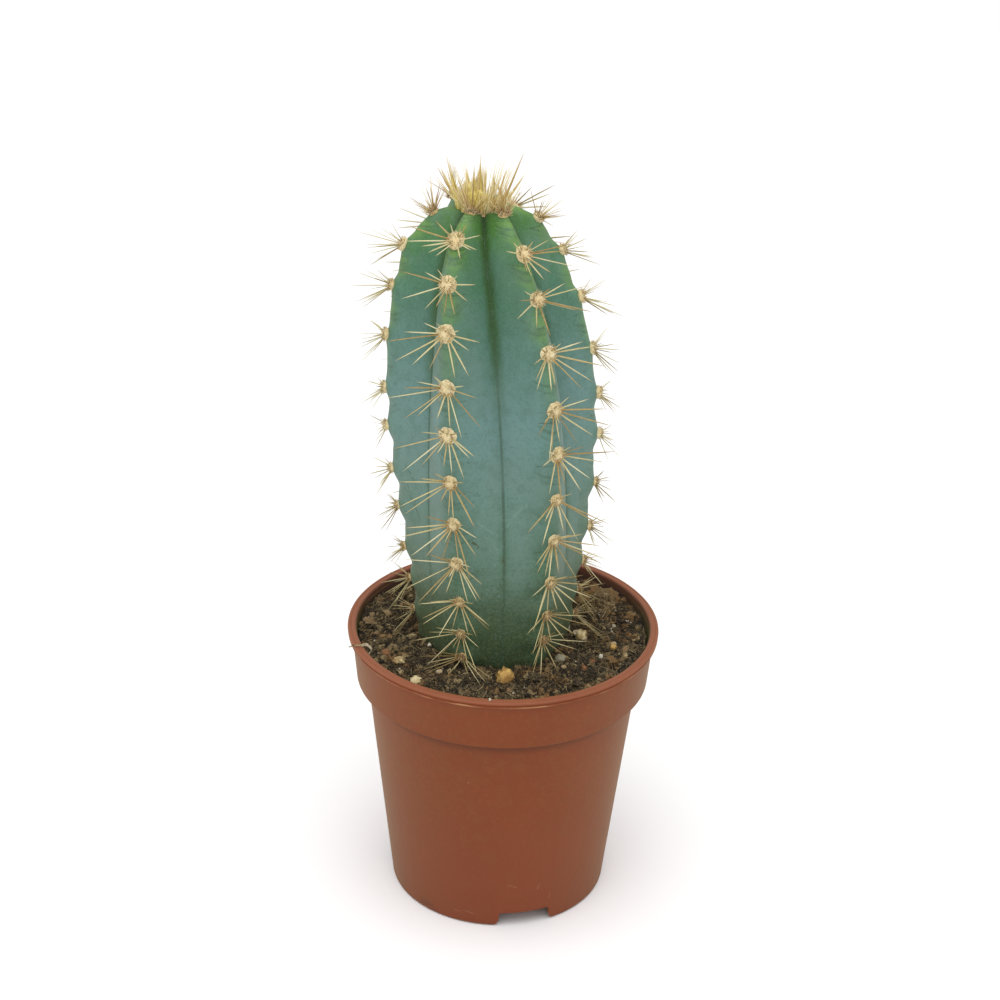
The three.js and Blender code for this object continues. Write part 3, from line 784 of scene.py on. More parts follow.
def notch_cutter(turn):
    """A prism that cuts one arch out of the foot ring, with the wall's corners left round."""
    flare = NOTCH_HALF_WIDTH + NOTCH_CORNER
    arc = [math.radians(90) * i / NOTCH_STEPS for i in range(NOTCH_STEPS + 1)]
    side = [(flare - NOTCH_CORNER * math.sin(a), NOTCH_CORNER * (1 - math.cos(a))) for a in arc]
    half = [(flare, -1), *side, (NOTCH_HALF_WIDTH, FOOT_HEIGHT - 0.5), (NOTCH_HALF_WIDTH - 0.5, FOOT_HEIGHT)]
    outline = half + [(-x, z) for x, z in reversed(half)]
    cutter = begin(bpy.ops.mesh.primitive_circle_add, vertices=len(outline), fill_type="NGON")
    set_points(cutter, [(x, -NOTCH_FROM, z) for x, z in outline])
    edit_all()
    bpy.ops.mesh.extrude_region_move(TRANSFORM_OT_translate={"value": (0, -NOTCH_DEPTH, 0)})
    face_outwards()
    cutter.rotation_euler.z = turn
    return settle(cutter)


def drain_cutter(turn):
    place = (DRAIN_CIRCLE * math.sin(turn), -DRAIN_CIRCLE * math.cos(turn), FOOT_HEIGHT)
    return settle(begin(bpy.ops.mesh.primitive_cylinder_add, vertices=32, radius=DRAIN_RADIUS,
                        depth=DRAIN_DEPTH, location=place))


def cut(piece, cutters):
    """Takes the cutters out of a piece, all at once."""
    select_only(cutters[0])
    for cutter in cutters[1:]:
        cutter.select_set(True)
    bpy.ops.object.join()
    tool = bpy.context.object
    apply_modifier(piece, "BOOLEAN", operation="DIFFERENCE", solver="EXACT", object=tool)
    bpy.data.objects.remove(tool)


def make_pot():
    profile = pot_profile()
    (radius, height), *_ = profile
    pot = settle(begin(bpy.ops.mesh.primitive_circle_add, "pot_shell", vertices=POT_SIDES, radius=radius,
                       location=(0, 0, height)))
    edit_all()
    extrude_rings(profile)
    bpy.ops.object.mode_set(mode="OBJECT")
    ends = [v.index < POT_SIDES or v.index >= len(pot.data.vertices) - POT_SIDES for v in pot.data.vertices]
    pot.data.vertices.foreach_set("select", ends)
    bpy.ops.object.mode_set(mode="EDIT")
    bpy.ops.mesh.bridge_edge_loops()
    face_outwards()
    notches = [notch_cutter(NOTCH_TURN + i * math.tau / NOTCHES) for i in range(NOTCHES)]
    drains = [drain_cutter(NOTCH_TURN + i * math.tau / DRAINS) for i in range(DRAINS)]
    cut(pot, notches + drains)
    set_points(pot, points_of(pot) * mm)
    select_only(pot)
    bpy.ops.object.shade_smooth_by_angle(angle=math.radians(35))
    return pot


# The stem's form, in millimetres

def smooth(value, low, high):
    share = np.clip((value - low) / (high - low), 0, 1)
    return share * share * (3 - 2 * share)


def draw(a, b, c):
    """A repeatable draw from 0 to 1 for three whole numbers."""
    value = np.sin(a * 12.9898 + b * 78.233 + c * 37.719) * 43758.5453
    return value - np.floor(value)


def smooth_curve(points, steps=60):
    """A curve through points, from a cubic for each stretch."""
    padded = np.array([points[0], *points, points[-1]], float)
    a, b, c, d = (padded[i:len(points) - 1 + i, None] for i in range(4))
    t = (np.arange(steps) / steps)[None, :, None]
    spans = (b + t * (c - a) / 2 + t ** 2 * (2 * a - 5 * b + 4 * c - d) / 2
             + t ** 3 * (3 * b - a - 3 * c + d) / 2)
    return np.vstack([spans.reshape(-1, 2), points[-1]])


CREST = smooth_curve(CREST_PROFILE)[::-1]
CREST_DOWN = np.concatenate([[0], np.cumsum(np.hypot(*np.diff(CREST, axis=0).T))])
CREST_LENGTH = CREST_DOWN[-1]


def crest_at(down):
    """The crest's radius and height at distances down from the tip."""
    return np.interp(down, CREST_DOWN, CREST[:, 0]), np.interp(down, CREST_DOWN, CREST[:, 1])


def axis_x(z):
    return STANDS_AT - LEAN_RATE * (np.clip(z, LEAN_FROM, LEAN_TO) - LEAN_FROM) ** 2


def fall(share):
    """How far a flank has fallen towards its groove: 0 on the crest, 1 in the groove."""
    soft = CREST_ROUNDING
    return (np.hypot(share, soft) - soft) / (np.hypot(1, soft) - soft)


def half_turn(rib, side):
    """Half the turn between a rib and its neighbour on one side."""
    neighbour = RIB_TURNS[(rib + side) % len(RIB_TURNS)]
    return math.radians((side * (neighbour - RIB_TURNS[rib])) % 360) / 2


def flank_share(share, groove, half):
    """The share of the crest's radius on a flank, which is nearly straight from crest to groove."""
    turn = fall(share) * half
    slant = (1 / groove - np.cos(half)) / np.sin(half)
    straight = 1 / (np.cos(turn) + slant * np.sin(turn))
    full = 1 - (1 - groove) * fall(share)
    return straight * (1 - PILLOW) + full * PILLOW


AREOLES_DOWN = [np.array(row, float) for row in AREOLE_PLACES]


def lift_at(rib, down, height):
    """How far the crest stands out, at and near its areoles."""
    below = np.interp(height, *np.transpose(DENT_PLACE))
    bumps = sum(np.exp(-(((down - at) / BUMP_REACH) ** 2)) for at in AREOLES_DOWN[rib])
    dents = sum(np.exp(-(((down - at - below) / DENT_REACH) ** 2)) for at in AREOLES_DOWN[rib])
    return CREST_BUMP * bumps - CREST_DENT * dents


def stem_points(rib, share, down):
    """Points of the stem: share is 0 on a crest, 1 in the groove on its right and -1 in that on its left."""
    share, down = np.broadcast_arrays(np.asarray(share, float), np.asarray(down, float))
    radius, height = crest_at(down)
    fallen = fall(np.abs(share))
    bumpy = (1 - fallen) ** 3 * smooth(radius, 2, 8) * smooth(height, SOIL_LEVEL - 6, SOIL_LEVEL + 4)
    half = np.where(share < 0, half_turn(rib, -1), half_turn(rib, 1))
    groove = np.interp(height, *np.transpose(GROOVE_SHARE))
    out = radius * flank_share(np.abs(share), groove, half) + bumpy * lift_at(rib, down, height)
    sink = TIP_FURROW * fallen * smooth(height, TIP_HEIGHT - 8, TIP_HEIGHT) * smooth(radius, 0, 6)
    shoulder = np.exp(-(((down - SHOULDER_DOWN) / SHOULDER_REACH) ** 2))
    sink = sink + SHOULDER_DROP[rib] * (1 - fallen) * shoulder
    turn = math.radians(RIB_TURNS[rib]) + share * half
    return np.stack([axis_x(height) + out * np.sin(turn), -out * np.cos(turn), height - sink], axis=-1)


class Areole:
    """Where an areole sits, with its outward direction, the way down its rib and the way along the skin."""

    def __init__(self, rib, number):
        down = AREOLES_DOWN[rib][number]
        near = np.array([crest_at(down + 0.2), crest_at(down - 0.2)])
        slope = (near[1] - near[0]) / np.hypot(*(near[1] - near[0]))
        turn = math.radians(RIB_TURNS[rib])
        radial = Vector((math.sin(turn), -math.cos(turn), 0))
        up = Vector((0, 0, 1))
        self.at = Vector(stem_points(rib, 0, down))
        self.outward = (radial * slope[1] - up * slope[0]).normalized()
        self.downward = (radial * -slope[0] - up * slope[1]).normalized()
        self.sideways = self.downward.cross(self.outward)
        self.young = float(smooth(self.at.z, YOUNG_FROM, TIP_HEIGHT))
        self.newest = float(smooth(self.at.z, NEWEST_FROM, TIP_HEIGHT))
        self.old = float(smooth(self.at.z, 112, SOIL_LEVEL + 8))
        self.aside = rib in SIDE_RIBS
        self.vigour = float(np.interp(self.at.z, *np.transpose(SIDE_VIGOUR))) if self.aside else 1.0

    def direction(self, turn, rise):
        """A way out of the areole; on the newest ones, all of them stand up more."""
        around = self.downward * math.cos(turn) + self.sideways * math.sin(turn)
        way = around * math.cos(rise) + self.outward * math.sin(rise)
        return (way + Vector((0, 0, 0.4 * self.newest))).normalized()


def all_areoles():
    found = [Areole(rib, number) for rib, row in enumerate(AREOLES_DOWN) for number in range(len(row))]
    return [areole for areole in found if areole.at.z > LOWEST_AREOLE]


# The soil's form, in millimetres

def lattice(x, y, cell, seed):
    """Smooth random lumps, from -0.5 to 0.5."""
    i, j = np.floor(x / cell), np.floor(y / cell)
    u, v = smooth(x / cell - i, 0, 1), smooth(y / cell - j, 0, 1)
    low = draw(i, j, seed) * (1 - u) + draw(i + 1, j, seed) * u
    high = draw(i, j + 1, seed) * (1 - u) + draw(i + 1, j + 1, seed) * u
    return low * (1 - v) + high * v - 0.5


def soil_height(x, y):
    away = (x - CLUMP_PLACE[0]) ** 2 + (y - CLUMP_PLACE[1]) ** 2
    heap = CLUMP_HEIGHT * np.exp(-away / CLUMP_REACH ** 2)
    dip = EDGE_DIP * smooth(np.hypot(x, y), 33, 40)
    relief = sum(height * lattice(x, y, cell, i + 1) for i, (cell, height) in enumerate(SOIL_LUMPS))
    rise = LEFT_RISE * smooth(-x, 22, 36) + RIGHT_RISE * smooth(x, 24, 38)
    return SOIL_LEVEL + heap - dip + relief + rise


def fine_relief(x, y):
    """Rounded crumbs with narrow clefts between them, from clods down to grains."""
    where = Vector((x, y, 3))
    shaken = where + noise.noise_vector(where / 2.1) * 1.1
    clods, crumbs = (noise.voronoi(shaken / size)[0][0] for size in (3.1, 1.25))
    return 0.95 * (0.42 - clods) + 0.5 * (0.42 - crumbs) + noise.fractal(where / 0.8, 0.8, 2.0, 2) * 0.22


def crumbly(x, y):
    """The soil's surface with its fine relief."""
    return float(soil_height(x, y)) + fine_relief(x, y)


def push_at(point):
    """The way out for a point of a spine that is too near the soil, the pot's rim or the crown."""
    reach = math.hypot(point.x, point.y)
    lowest = POT_HEIGHT if reach > BODY_TOP_RADIUS else float(soil_height(point.x, point.y))
    if point.z < lowest + SPINE_CLEARANCE:
        return Vector((0, 0, 1))
    aside = Vector((point.x - CROWN_X, point.y, 0))
    cone = CROWN_RADIUS - 1 + CROWN_CONE * max(0, point.z - TIP_HEIGHT)
    return aside.normalized() if point.z > TIP_HEIGHT - 6 and aside.length < cone else None


def steered(origin, direction, length):
    """A spine's direction, turned until all of it is clear, or nothing where it can't be."""
    for _ in range(40):
        points = [origin + direction * length * share for share in (0.25, 0.4, 0.55, 0.7, 0.85, 1)]
        push = next((p for p in map(push_at, points) if p), None)
        if not push:
            return direction
        direction = (direction + push * 0.12).normalized()
    return None


# The stem and what grows on it

def make_stem():
    per_rib = 2 * (len(FLANK_STEPS) - 1)
    around = per_rib * len(RIB_TURNS)
    stem = begin(bpy.ops.mesh.primitive_uv_sphere_add, "stem_body", segments=around, ring_count=STEM_ROWS)
    sphere = points_of(stem)
    turn = np.arctan2(sphere[:, 0], -sphere[:, 1]) / math.tau
    column = np.rint(turn * around).astype(int) % around
    down = np.arccos(np.clip(sphere[:, 2], -1, 1)) / math.pi * CREST_LENGTH
    rib, step = column // per_rib, column % per_rib
    past = step > per_rib // 2
    steps = np.array(FLANK_STEPS)
    share = np.where(past, -steps[np.where(past, per_rib - step, 0)], steps[np.where(past, 0, step)])
    rib = np.where(past, (rib + 1) % len(RIB_TURNS), rib)
    points, from_crest, from_groove, below = (np.zeros(shape) for shape in (sphere.shape, *[len(sphere)] * 3))
    for which in range(len(RIB_TURNS)):
        own = rib == which
        points[own] = stem_points(which, share[own], down[own])
        side = np.where(share[own] < 0, -1, 1)
        from_crest[own] = np.linalg.norm(points[own] - stem_points(which, 0, down[own]), axis=1)
        from_groove[own] = np.linalg.norm(points[own] - stem_points(which, side, down[own]), axis=1)
        apart = down[own][:, None] - AREOLES_DOWN[which][None, :]
        below[own] = apart[np.arange(own.sum()), np.abs(apart + 3).argmin(axis=1)]
    set_points(stem, points * mm)
    mark(stem, "from_crest", from_crest)
    mark(stem, "from_groove", from_groove)
    mark(stem, "below_areole", below)
    shade_smooth(stem)
    return stem


def spine_model(bend, sides=6, rings=SPINE_RINGS):
    """A spine of length 1 and foot radius 1, extruded ring by ring, that bends aside towards its point."""
    spine = begin(bpy.ops.mesh.primitive_circle_add, vertices=sides, radius=1, fill_type="NGON")
    edit_all()
    extrude_rings(rings, bend)
    face_outwards()
    return spine


def lump_models(number, subdivisions, roughness, first_seed, knobs=0.0):
    """Uneven balls of radius 1, with small knobs all over where they are asked for."""
    lumps = []
    for seed in range(first_seed, first_seed + number):
        lump = begin(bpy.ops.mesh.primitive_ico_sphere_add, subdivisions=subdivisions, radius=1)
        points = points_of(lump)
        offset = Vector((seed * 7.3, seed * 3.1, seed))
        grow = np.array([noise.fractal(Vector(p) * 1.7 + offset, 0.8, 2.0, 3) for p in points])
        knob = np.array([noise.noise(Vector(p) * 5.5 + offset) for p in points])
        set_points(lump, points * (1 + roughness * grow + knobs * knob)[:, None])
        lumps.append(lump)
    return lumps


def areole_spines(areole, dice):
    """(turn, length, rise) of each spine of an areole, unevenly as they grow."""
    if areole.newest:
        for _ in range(NEWEST_SPINES):
            yield dice.turn(), dice.uniform(3.5, 9.5), math.radians(dice.uniform(15, 80))
        return
    fan = [*RADIALS, *[(-turn, length, rise) for turn, length, rise in RADIALS[1:]], *CENTRALS]
    size = areole.vigour * (1 - 0.14 * areole.old - 0.1 * areole.young)
    uneven, lift = (SIDE_SPREAD, SIDE_LIFT) if areole.aside else (FRONT_SPREAD, 0)
    for turn, length, rise in fan:
        if dice.random() < MISSING:
            continue
        yield (
            math.radians(turn + dice.uniform(-10, 10)),
            length * size * dice.uniform(0.72, 1.1),
            math.radians(rise + 8 * areole.young + lift + dice.uniform(-uneven, uneven)),
        )


def make_spines(name, areoles, seed):
    dice = Dice(seed)
    models = [spine_model(bend) for bend in (0, 1.3, -1.3)]
    placed = []
    for areole in areoles:
        thick = SIDE_THICKNESS if areole.aside else FRONT_THICKNESS
        thick = SPINE_RADIUS * (NEWEST_THICKNESS if areole.newest else thick)
        thick *= 1 - 0.32 * areole.old
        for turn, length, rise in areole_spines(areole, dice):
            aside = areole.direction(turn, 0) * math.cos(rise)
            root = areole.at + aside * PAD_RADIUS * 0.35 + areole.outward * PAD_HEIGHT * 0.2
            way = steered(root, areole.direction(turn, rise), length)
            if way:
                radius = thick * dice.uniform(0.7, 1.15) * min(1, 0.6 + length / 20)
                place = place_at(root, way, (radius, radius, length), dice.turn())
                placed.append((dice.choice(models), place, dice.random() - 0.15 * areole.old))
    return copies(name, placed, models)


def make_felt(areoles):
    """The pads: an uneven cushion each, with tufts of short hairs all round."""
    dice = Dice(5)
    pads = lump_models(5, 3, 0.14, 1, 0.06)
    hair = spine_model(0.6, sides=3, rings=HAIR_RINGS)
    placed = []
    for areole in areoles:
        size = PAD_RADIUS * (0.78 if areole.aside else 1) * (1 - 0.34 * areole.old - 0.42 * areole.newest)
        size *= dice.uniform(0.92, 1.06) * (1 - 0.24 * float(smooth(-areole.at.z, -150, -125)))
        height = PAD_HEIGHT * (1 - 0.2 * areole.old - 0.3 * areole.newest)
        tint = 0.74 - 0.3 * areole.old - 0.3 * areole.newest + dice.uniform(-0.08, 0.08)
        turn = dice.turn()
        shape = (size * 0.92, size * 0.92 * dice.uniform(0.85, 1.05), height)
        placed.append((dice.choice(pads), place_at(areole.at, areole.outward, shape, turn), tint))
        for _ in range(HAIRS_TO_A_PAD):
            turn, rise = dice.turn(), math.asin(math.sqrt(dice.uniform(0.0, 0.9)))
            across = areole.sideways * math.cos(turn) * math.cos(rise)
            way = across + areole.downward * math.sin(turn) * math.cos(rise)
            root = areole.at + way * size * (0.8 + 0.2 * areole.newest)
            root += areole.outward * math.sin(rise) * height * 0.75
            lean = areole.direction(dice.turn(), 0) * 0.6
            rusty = 0.3 * dice.random() if math.sin(turn) < -0.3 else 0
            way = (way + lean + areole.outward * (math.sin(rise) + 0.15)).normalized()
            length = dice.uniform(0.4, 1.15) * (1 + 0.9 * areole.newest)
            place = place_at(root, way, (HAIR_RADIUS, HAIR_RADIUS, length), dice.turn())
            placed.append((hair, place, tint + dice.uniform(-0.25, 0.35) - rusty))
    return copies("areole_felt", placed, [hair, *pads])


def tuft_model(seed):
    """A pointed tuft, length 1 and foot radius 1, furrowed along its length."""
    tuft = spine_model(0, sides=14, rings=TUFT_RINGS)
    points = points_of(tuft)
    turn = np.arctan2(points[:, 1], points[:, 0])
    points[:, :2] *= (1 + 0.15 * np.sin(5 * turn + seed) + 0.1 * np.sin(9 * turn - 2 * seed))[:, None]
    set_points(tuft, points)
    return tuft


def make_crown_felt():
    """The golden felt at the crown's middle: lumps with pointed tufts."""
    dice = Dice(29)
    tufts = [tuft_model(seed) for seed in range(3)]
    lumps = lump_models(3, 3, 0.25, 91, 0.12)
    placed = []
    for x, y, tip_x, tip_y, height, radius, _ in CROWN_TUFTS:
        foot = CROWN_MIDDLE + Vector((x, y, 0))
        way = CROWN_MIDDLE + Vector((tip_x, tip_y, height)) - foot
        shape = (radius, radius, way.length * 0.86)
        placed.append((dice.choice(tufts), place_at(foot, way, shape, dice.turn()), dice.random()))
    for x, y, z, width, tall in CROWN_LUMPS:
        shape = (width, width * 0.85, tall)
        place = place_at(CROWN_MIDDLE + Vector((x, y, z)), (x * 0.06, y * 0.06, 1), shape)
        placed.append((dice.choice(lumps), place, dice.random()))
    return copies("crown_felt", placed, [*tufts, *lumps])


def make_crown():
    """Young spines that stand up from the tip, drawn together towards the points of its tufts."""
    dice = Dice(23)
    models = [spine_model(bend) for bend in (0, 1.2, -1.2)]
    placed = []

    def stand(root, tip, radius, tint):
        way = tip - root
        place = place_at(root, way, (radius, radius, way.length), dice.turn())
        placed.append((dice.choice(models), place, tint))

    for x, y, tip_x, tip_y, height, radius, number in CROWN_TUFTS:
        foot, tip = CROWN_MIDDLE + Vector((x, y, 0)), CROWN_MIDDLE + Vector((tip_x, tip_y, height))
        for _ in range(number):
            turn, reach = dice.turn(), dice.uniform(0.7, 1.04)
            aside = Vector((math.cos(turn), math.sin(turn), 0)) * radius
            end = foot.lerp(tip, reach) + aside * dice.uniform(0.1, 1.6) * (1.15 - reach)
            stand(foot + aside * 0.95, end, dice.uniform(0.1, 0.18), dice.random())
    for k in range(SHORT_SPINES + WISPS):
        short = k < SHORT_SPINES
        turn, out = dice.turn(), (CROWN_RADIUS - 0.4) * math.sqrt(dice.uniform(0.15, 1))
        aside = Vector((math.cos(turn), math.sin(turn), 0))
        length = dice.uniform(3, 6.5) if short else dice.uniform(6, 13)
        lean = aside * out * (dice.uniform(0.2, 0.9) if short else dice.uniform(0.8, 2))
        foot = CROWN_MIDDLE + aside * out
        radius = dice.uniform(0.1, 0.17) if short else WISP_RADIUS
        tint = dice.random() if short else 0.6 + 0.4 * dice.random()
        stand(foot, foot + lean + Vector((0, 0, length)), radius, tint)
    return copies("crown_spines", placed, models)


def make_crown_wool():
    """The felt that the crown's spines stand in: a low cushion with short hairs all round."""
    dice = Dice(31)
    [lump] = lump_models(1, 3, 0.3, 11)
    hair = spine_model(0.8, sides=3, rings=HAIR_RINGS)
    centre = Vector((CROWN_X, 0, TIP_HEIGHT - 0.6))
    size = (CROWN_RADIUS * 0.86, CROWN_RADIUS * 0.86, CROWN_HEIGHT * 0.8)
    placed = [(lump, place_at(centre, (0, 0, 1), size), 0.6)]
    for _ in range(WOOL_HAIRS):
        turn, out = dice.turn(), CROWN_RADIUS * 0.9 * math.sqrt(dice.uniform(0.2, 1))
        root = centre + Vector((out * math.sin(turn), -out * math.cos(turn), 0.6))
        way = Vector((math.sin(turn), -math.cos(turn), dice.uniform(0.4, 2))).normalized()
        place = place_at(root, way, (0.1, 0.1, dice.uniform(0.8, 1.8)), dice.turn())
        placed.append((hair, place, dice.uniform(0.4, 1)))
    return copies("crown_wool", placed, [hair, lump])


# The soil and what lies on it

def make_soil():
    floor = FOOT_HEIGHT + WALL + SOIL_GAP
    rings = [
        (0.5, floor), (inner_wall(floor) - SOIL_GAP, floor),
        (inner_wall(LEDGE) - SOIL_GAP, LEDGE + SOIL_GAP),
        (inner_wall(LEDGE + 1) - SOIL_GAP, LEDGE + SOIL_GAP),
        (inner_wall(SOIL_LEVEL - 2) - 0.3, SOIL_LEVEL - 2),
    ]
    widest = rings[-1][0]
    rings += [(widest * ring / SOIL_RINGS, SOIL_LEVEL) for ring in range(SOIL_RINGS, 0, -1)]
    soil = settle(begin(bpy.ops.mesh.primitive_circle_add, "soil_bed", vertices=SOIL_SIDES,
                        radius=rings[0][0], location=(0, 0, floor), fill_type="NGON"))
    edit_all()
    extrude_rings(rings)
    face_outwards()
    points = points_of(soil)
    top = points[:, 2] > SOIL_LEVEL - 0.5
    relief = np.array([fine_relief(x, y) for x, y in points[top, :2]])
    points[top, 2] = soil_height(points[top, 0], points[top, 1]) + relief
    set_points(soil, points * mm)
    tint = np.full(len(points), 0.2)
    # Painted shade: the bed is darker where its relief is low, in the clefts between crumbs, and lighter on
    # their tops
    tint[top] = 0.07 + 0.36 * smooth(relief, -0.5, 0.6)
    mark(soil, "tint", tint)
    shade_smooth(soil)
    return soil


LITTER_RADIUS = inner_wall(SOIL_LEVEL) - 0.8
STEM_AT_SOIL = crest_at(np.interp(-SOIL_LEVEL, -CREST[:, 1], CREST_DOWN))[0]


def soil_spot(dice, spare):
    """A point on the soil's surface, inside the pot and outside the stem with some room to spare."""
    while True:
        out, turn = LITTER_RADIUS * math.sqrt(dice.random()), dice.turn()
        x, y = out * math.cos(turn), out * math.sin(turn)
        if math.hypot(x - STANDS_AT, y) >= STEM_AT_SOIL + spare:
            return Vector((x, y, crumbly(x, y)))


def make_crumbs():
    """Crumbs of peat, from clods to grains, the larger ones first."""
    dice = Dice(3)
    clods = lump_models(5, 3, 0.7, 61, 0.25)
    large = lump_models(5, 2, 0.8, 31)
    small = lump_models(5, 1, 0.9, 21)
    placed = []
    for models, (number, low, high, mean, spread) in zip((clods, large, small), CRUMBS):
        for _ in range(number):
            size = dice.uniform(low, high)
            spot = soil_spot(dice, size - 1)
            spot.z += size * dice.uniform(-0.35, 0.2)
            direction = Vector((dice.gauss(0, 1), dice.gauss(0, 1), dice.gauss(0, 1))).normalized()
            if models is clods:
                direction = Vector((dice.gauss(0, 0.3), dice.gauss(0, 0.3), 1)).normalized()
            shape = [size * dice.uniform(*share) for share in ((0.8, 1.25), (0.6, 1), (0.45, 0.8))]
            tint = min(0.98, max(0.02, dice.gauss(mean, spread)))
            placed.append((dice.choice(models), place_at(spot, direction, shape, dice.turn()), tint))
    return copies("peat_crumbs", placed, [*clods, *large, *small], smooth=False)


def make_fibres():
    """Strands of peat and root that lie about on the soil."""
    dice = Dice(8)
    models = [spine_model(bend, sides=3, rings=FIBRE_RINGS) for bend in (6, -9, 14)]
    placed = []
    while len(placed) < FIBRES:
        spot = soil_spot(dice, 0.4)
        spot.z += dice.uniform(0.1, 0.9)
        turn, rise = dice.turn(), dice.gauss(0.1, 0.4)
        way = Vector((math.cos(turn), math.sin(turn), rise)).normalized()
        long = dice.random() < 0.15
        length = dice.uniform(2.5, 5) if long else dice.uniform(0.7, 2.4)
        end = spot + way * length
        if math.hypot(end.x, end.y) > LITTER_RADIUS:
            continue
        radius = dice.uniform(0.07, 0.13) if long else dice.uniform(0.04, 0.09)
        place = place_at(spot, way, (radius, radius, length), dice.turn())
        placed.append((dice.choice(models), place, min(1, max(0.2, dice.gauss(0.55, 0.2)))))
    return copies("peat_fibres", placed, models)


def make_clump():
    """The large clump at the back right, dry on top and crumbling at its right."""
    dice = Dice(52)
    [model] = lump_models(1, 5, 0.55, 77, 0.35)
    crumbs = lump_models(4, 2, 0.8, 71)
    spot = Vector((*CLUMP_PLACE, float(soil_height(*CLUMP_PLACE)) - 0.3))
    placed = [(model, place_at(spot, (0.05, -0.25, 1), CLUMP_SIZE, 0.2), 0.5)]
    for _ in range(CLUMP_CRUMBS):
        turn, out = dice.turn(), 1.15 * math.sqrt(dice.uniform(0.02, 1))
        x = CLUMP_PLACE[0] + CLUMP_SPREAD[0] * out * math.cos(turn)
        y = CLUMP_PLACE[1] + CLUMP_SPREAD[1] * out * math.sin(turn)
        if math.hypot(x, y) > inner_wall(SOIL_LEVEL) - 1:
            continue
        size = dice.uniform(0.25, 0.6) * (1.5 if out > 0.95 else 1)
        foot = Vector((x, y, float(soil_height(x, y)) - 0.3 + 2 * math.sqrt(max(0.0, 1 - 0.8 * out * out))))
        way = Vector((dice.gauss(0, 1), dice.gauss(0, 1), 1)).normalized()
        shape = (size, size * 0.8, size * 0.6)
        placed.append((dice.choice(crumbs), place_at(foot, way, shape), dice.uniform(0.25, 0.85)))
    return copies("dry_clump", placed, [model, *crumbs], smooth=False)


def make_chips():
    """Flakes of bark and stone between the crumbs."""
    dice = Dice(41)
    models = lump_models(3, 3, 0.5, 81)
    placed = []
    for x, y, size, tint in CHIPS:
        spot = Vector((x, y, crumbly(x, y) + size * 0.35))
        way = Vector((dice.gauss(0, 0.3), dice.gauss(-0.3, 0.3), 1))
        place = place_at(spot, way, (size, size * 0.7, size * 0.45), dice.turn())
        placed.append((dice.choice(models), place, tint))
    return copies("bark_chips", placed, models)


def make_root_strand():
    """A dead root that lies over the lip on the left and widens to a husk, its end on the soil."""
    *start, thick = ROOT_PATH[0]
    turn = (0, math.radians(70), math.radians(-20))
    strand = settle(begin(bpy.ops.mesh.primitive_circle_add, "root_strand", vertices=8, radius=thick,
                          fill_type="NGON", location=start, rotation=turn))
    edit_all()
    for point, following in zip(ROOT_PATH, ROOT_PATH[1:]):
        extrude(tuple(Vector(following[:3]) - Vector(point[:3])), [following[3] / point[3]] * 3)
    face_outwards()
    apply_modifier(strand, "SUBSURF", levels=2, render_levels=2)
    points = points_of(strand)
    points += [0.22 * noise.noise_vector(Vector(p) * 0.9) for p in points]
    set_points(strand, points * mm)
    patchy = np.array([noise.noise(Vector(p) * 2.2) for p in points])
    mark(strand, "tint", 0.45 + 0.4 * smooth(points[:, 0], -38.4, -36.8) + 0.5 * patchy)
    shade_smooth(strand)
    return strand


def make_specks():
    """White grains of perlite, most of them small."""
    dice = Dice(17)
    models = lump_models(3, 2, 0.6, 41)
    placed = []
    for _ in range(PERLITE_GRAINS):
        size = dice.uniform(0.15, 0.42)
        spot = soil_spot(dice, 0.4)
        spot.z += size * 0.5
        shape = (size, size * 0.8, size * 0.7)
        placed.append((dice.choice(models), place_at(spot, (0, 0, 1), shape, dice.turn()), dice.random()))
    for x, y, size in WHITE_TUFTS:
        spot = Vector((x, y, crumbly(x, y) + size * 0.6))
        placed.append((dice.choice(models), place_at(spot, (0.2, 0.1, 1), (size, size * 0.8, size)), 0.9))
    placed.append((models[0], place_at(LIP_GRAIN, (0, 0, 1), (0.4, 0.35, 0.5)), 0.9))
    return copies("perlite_grains", placed, models)


def make_stone(number, turn, out, size, tall):
    """A stone that lies half sunk in the soil."""
    [model] = lump_models(1, 3, 0.45, number + 51)
    x, y = out * math.sin(math.radians(turn)), -out * math.cos(math.radians(turn))
    spot = Vector((x, y, float(soil_height(x, y)) + 0.25 * size * tall))
    place = place_at(spot, (0.1, 0.1, 1), (size * 1.05, size * 0.85, size * tall * 0.92), number * 1.3)
    return copies(f"pebble_{number}", [(model, place, 0.5)], [model])


# The stage

def set_camera():
    turn = Matrix.Rotation(-CAMERA_YAW, 4, "Z") @ Matrix.Rotation(math.pi / 2 - CAMERA_PITCH, 4, "X")
    lens = bpy.data.cameras.new("camera")
    lens.lens = CAMERA_LENS
    lens.sensor_width = 36
    lens.sensor_fit = "HORIZONTAL"
    lens.clip_start = 0.01
    camera = bpy.data.objects.new("camera", lens)
    camera.matrix_world = Matrix.Translation(CAMERA_PLACE) @ turn @ Matrix.Rotation(CAMERA_ROLL, 4, "Z")
    bpy.context.scene.collection.objects.link(camera)
    bpy.context.scene.camera = camera


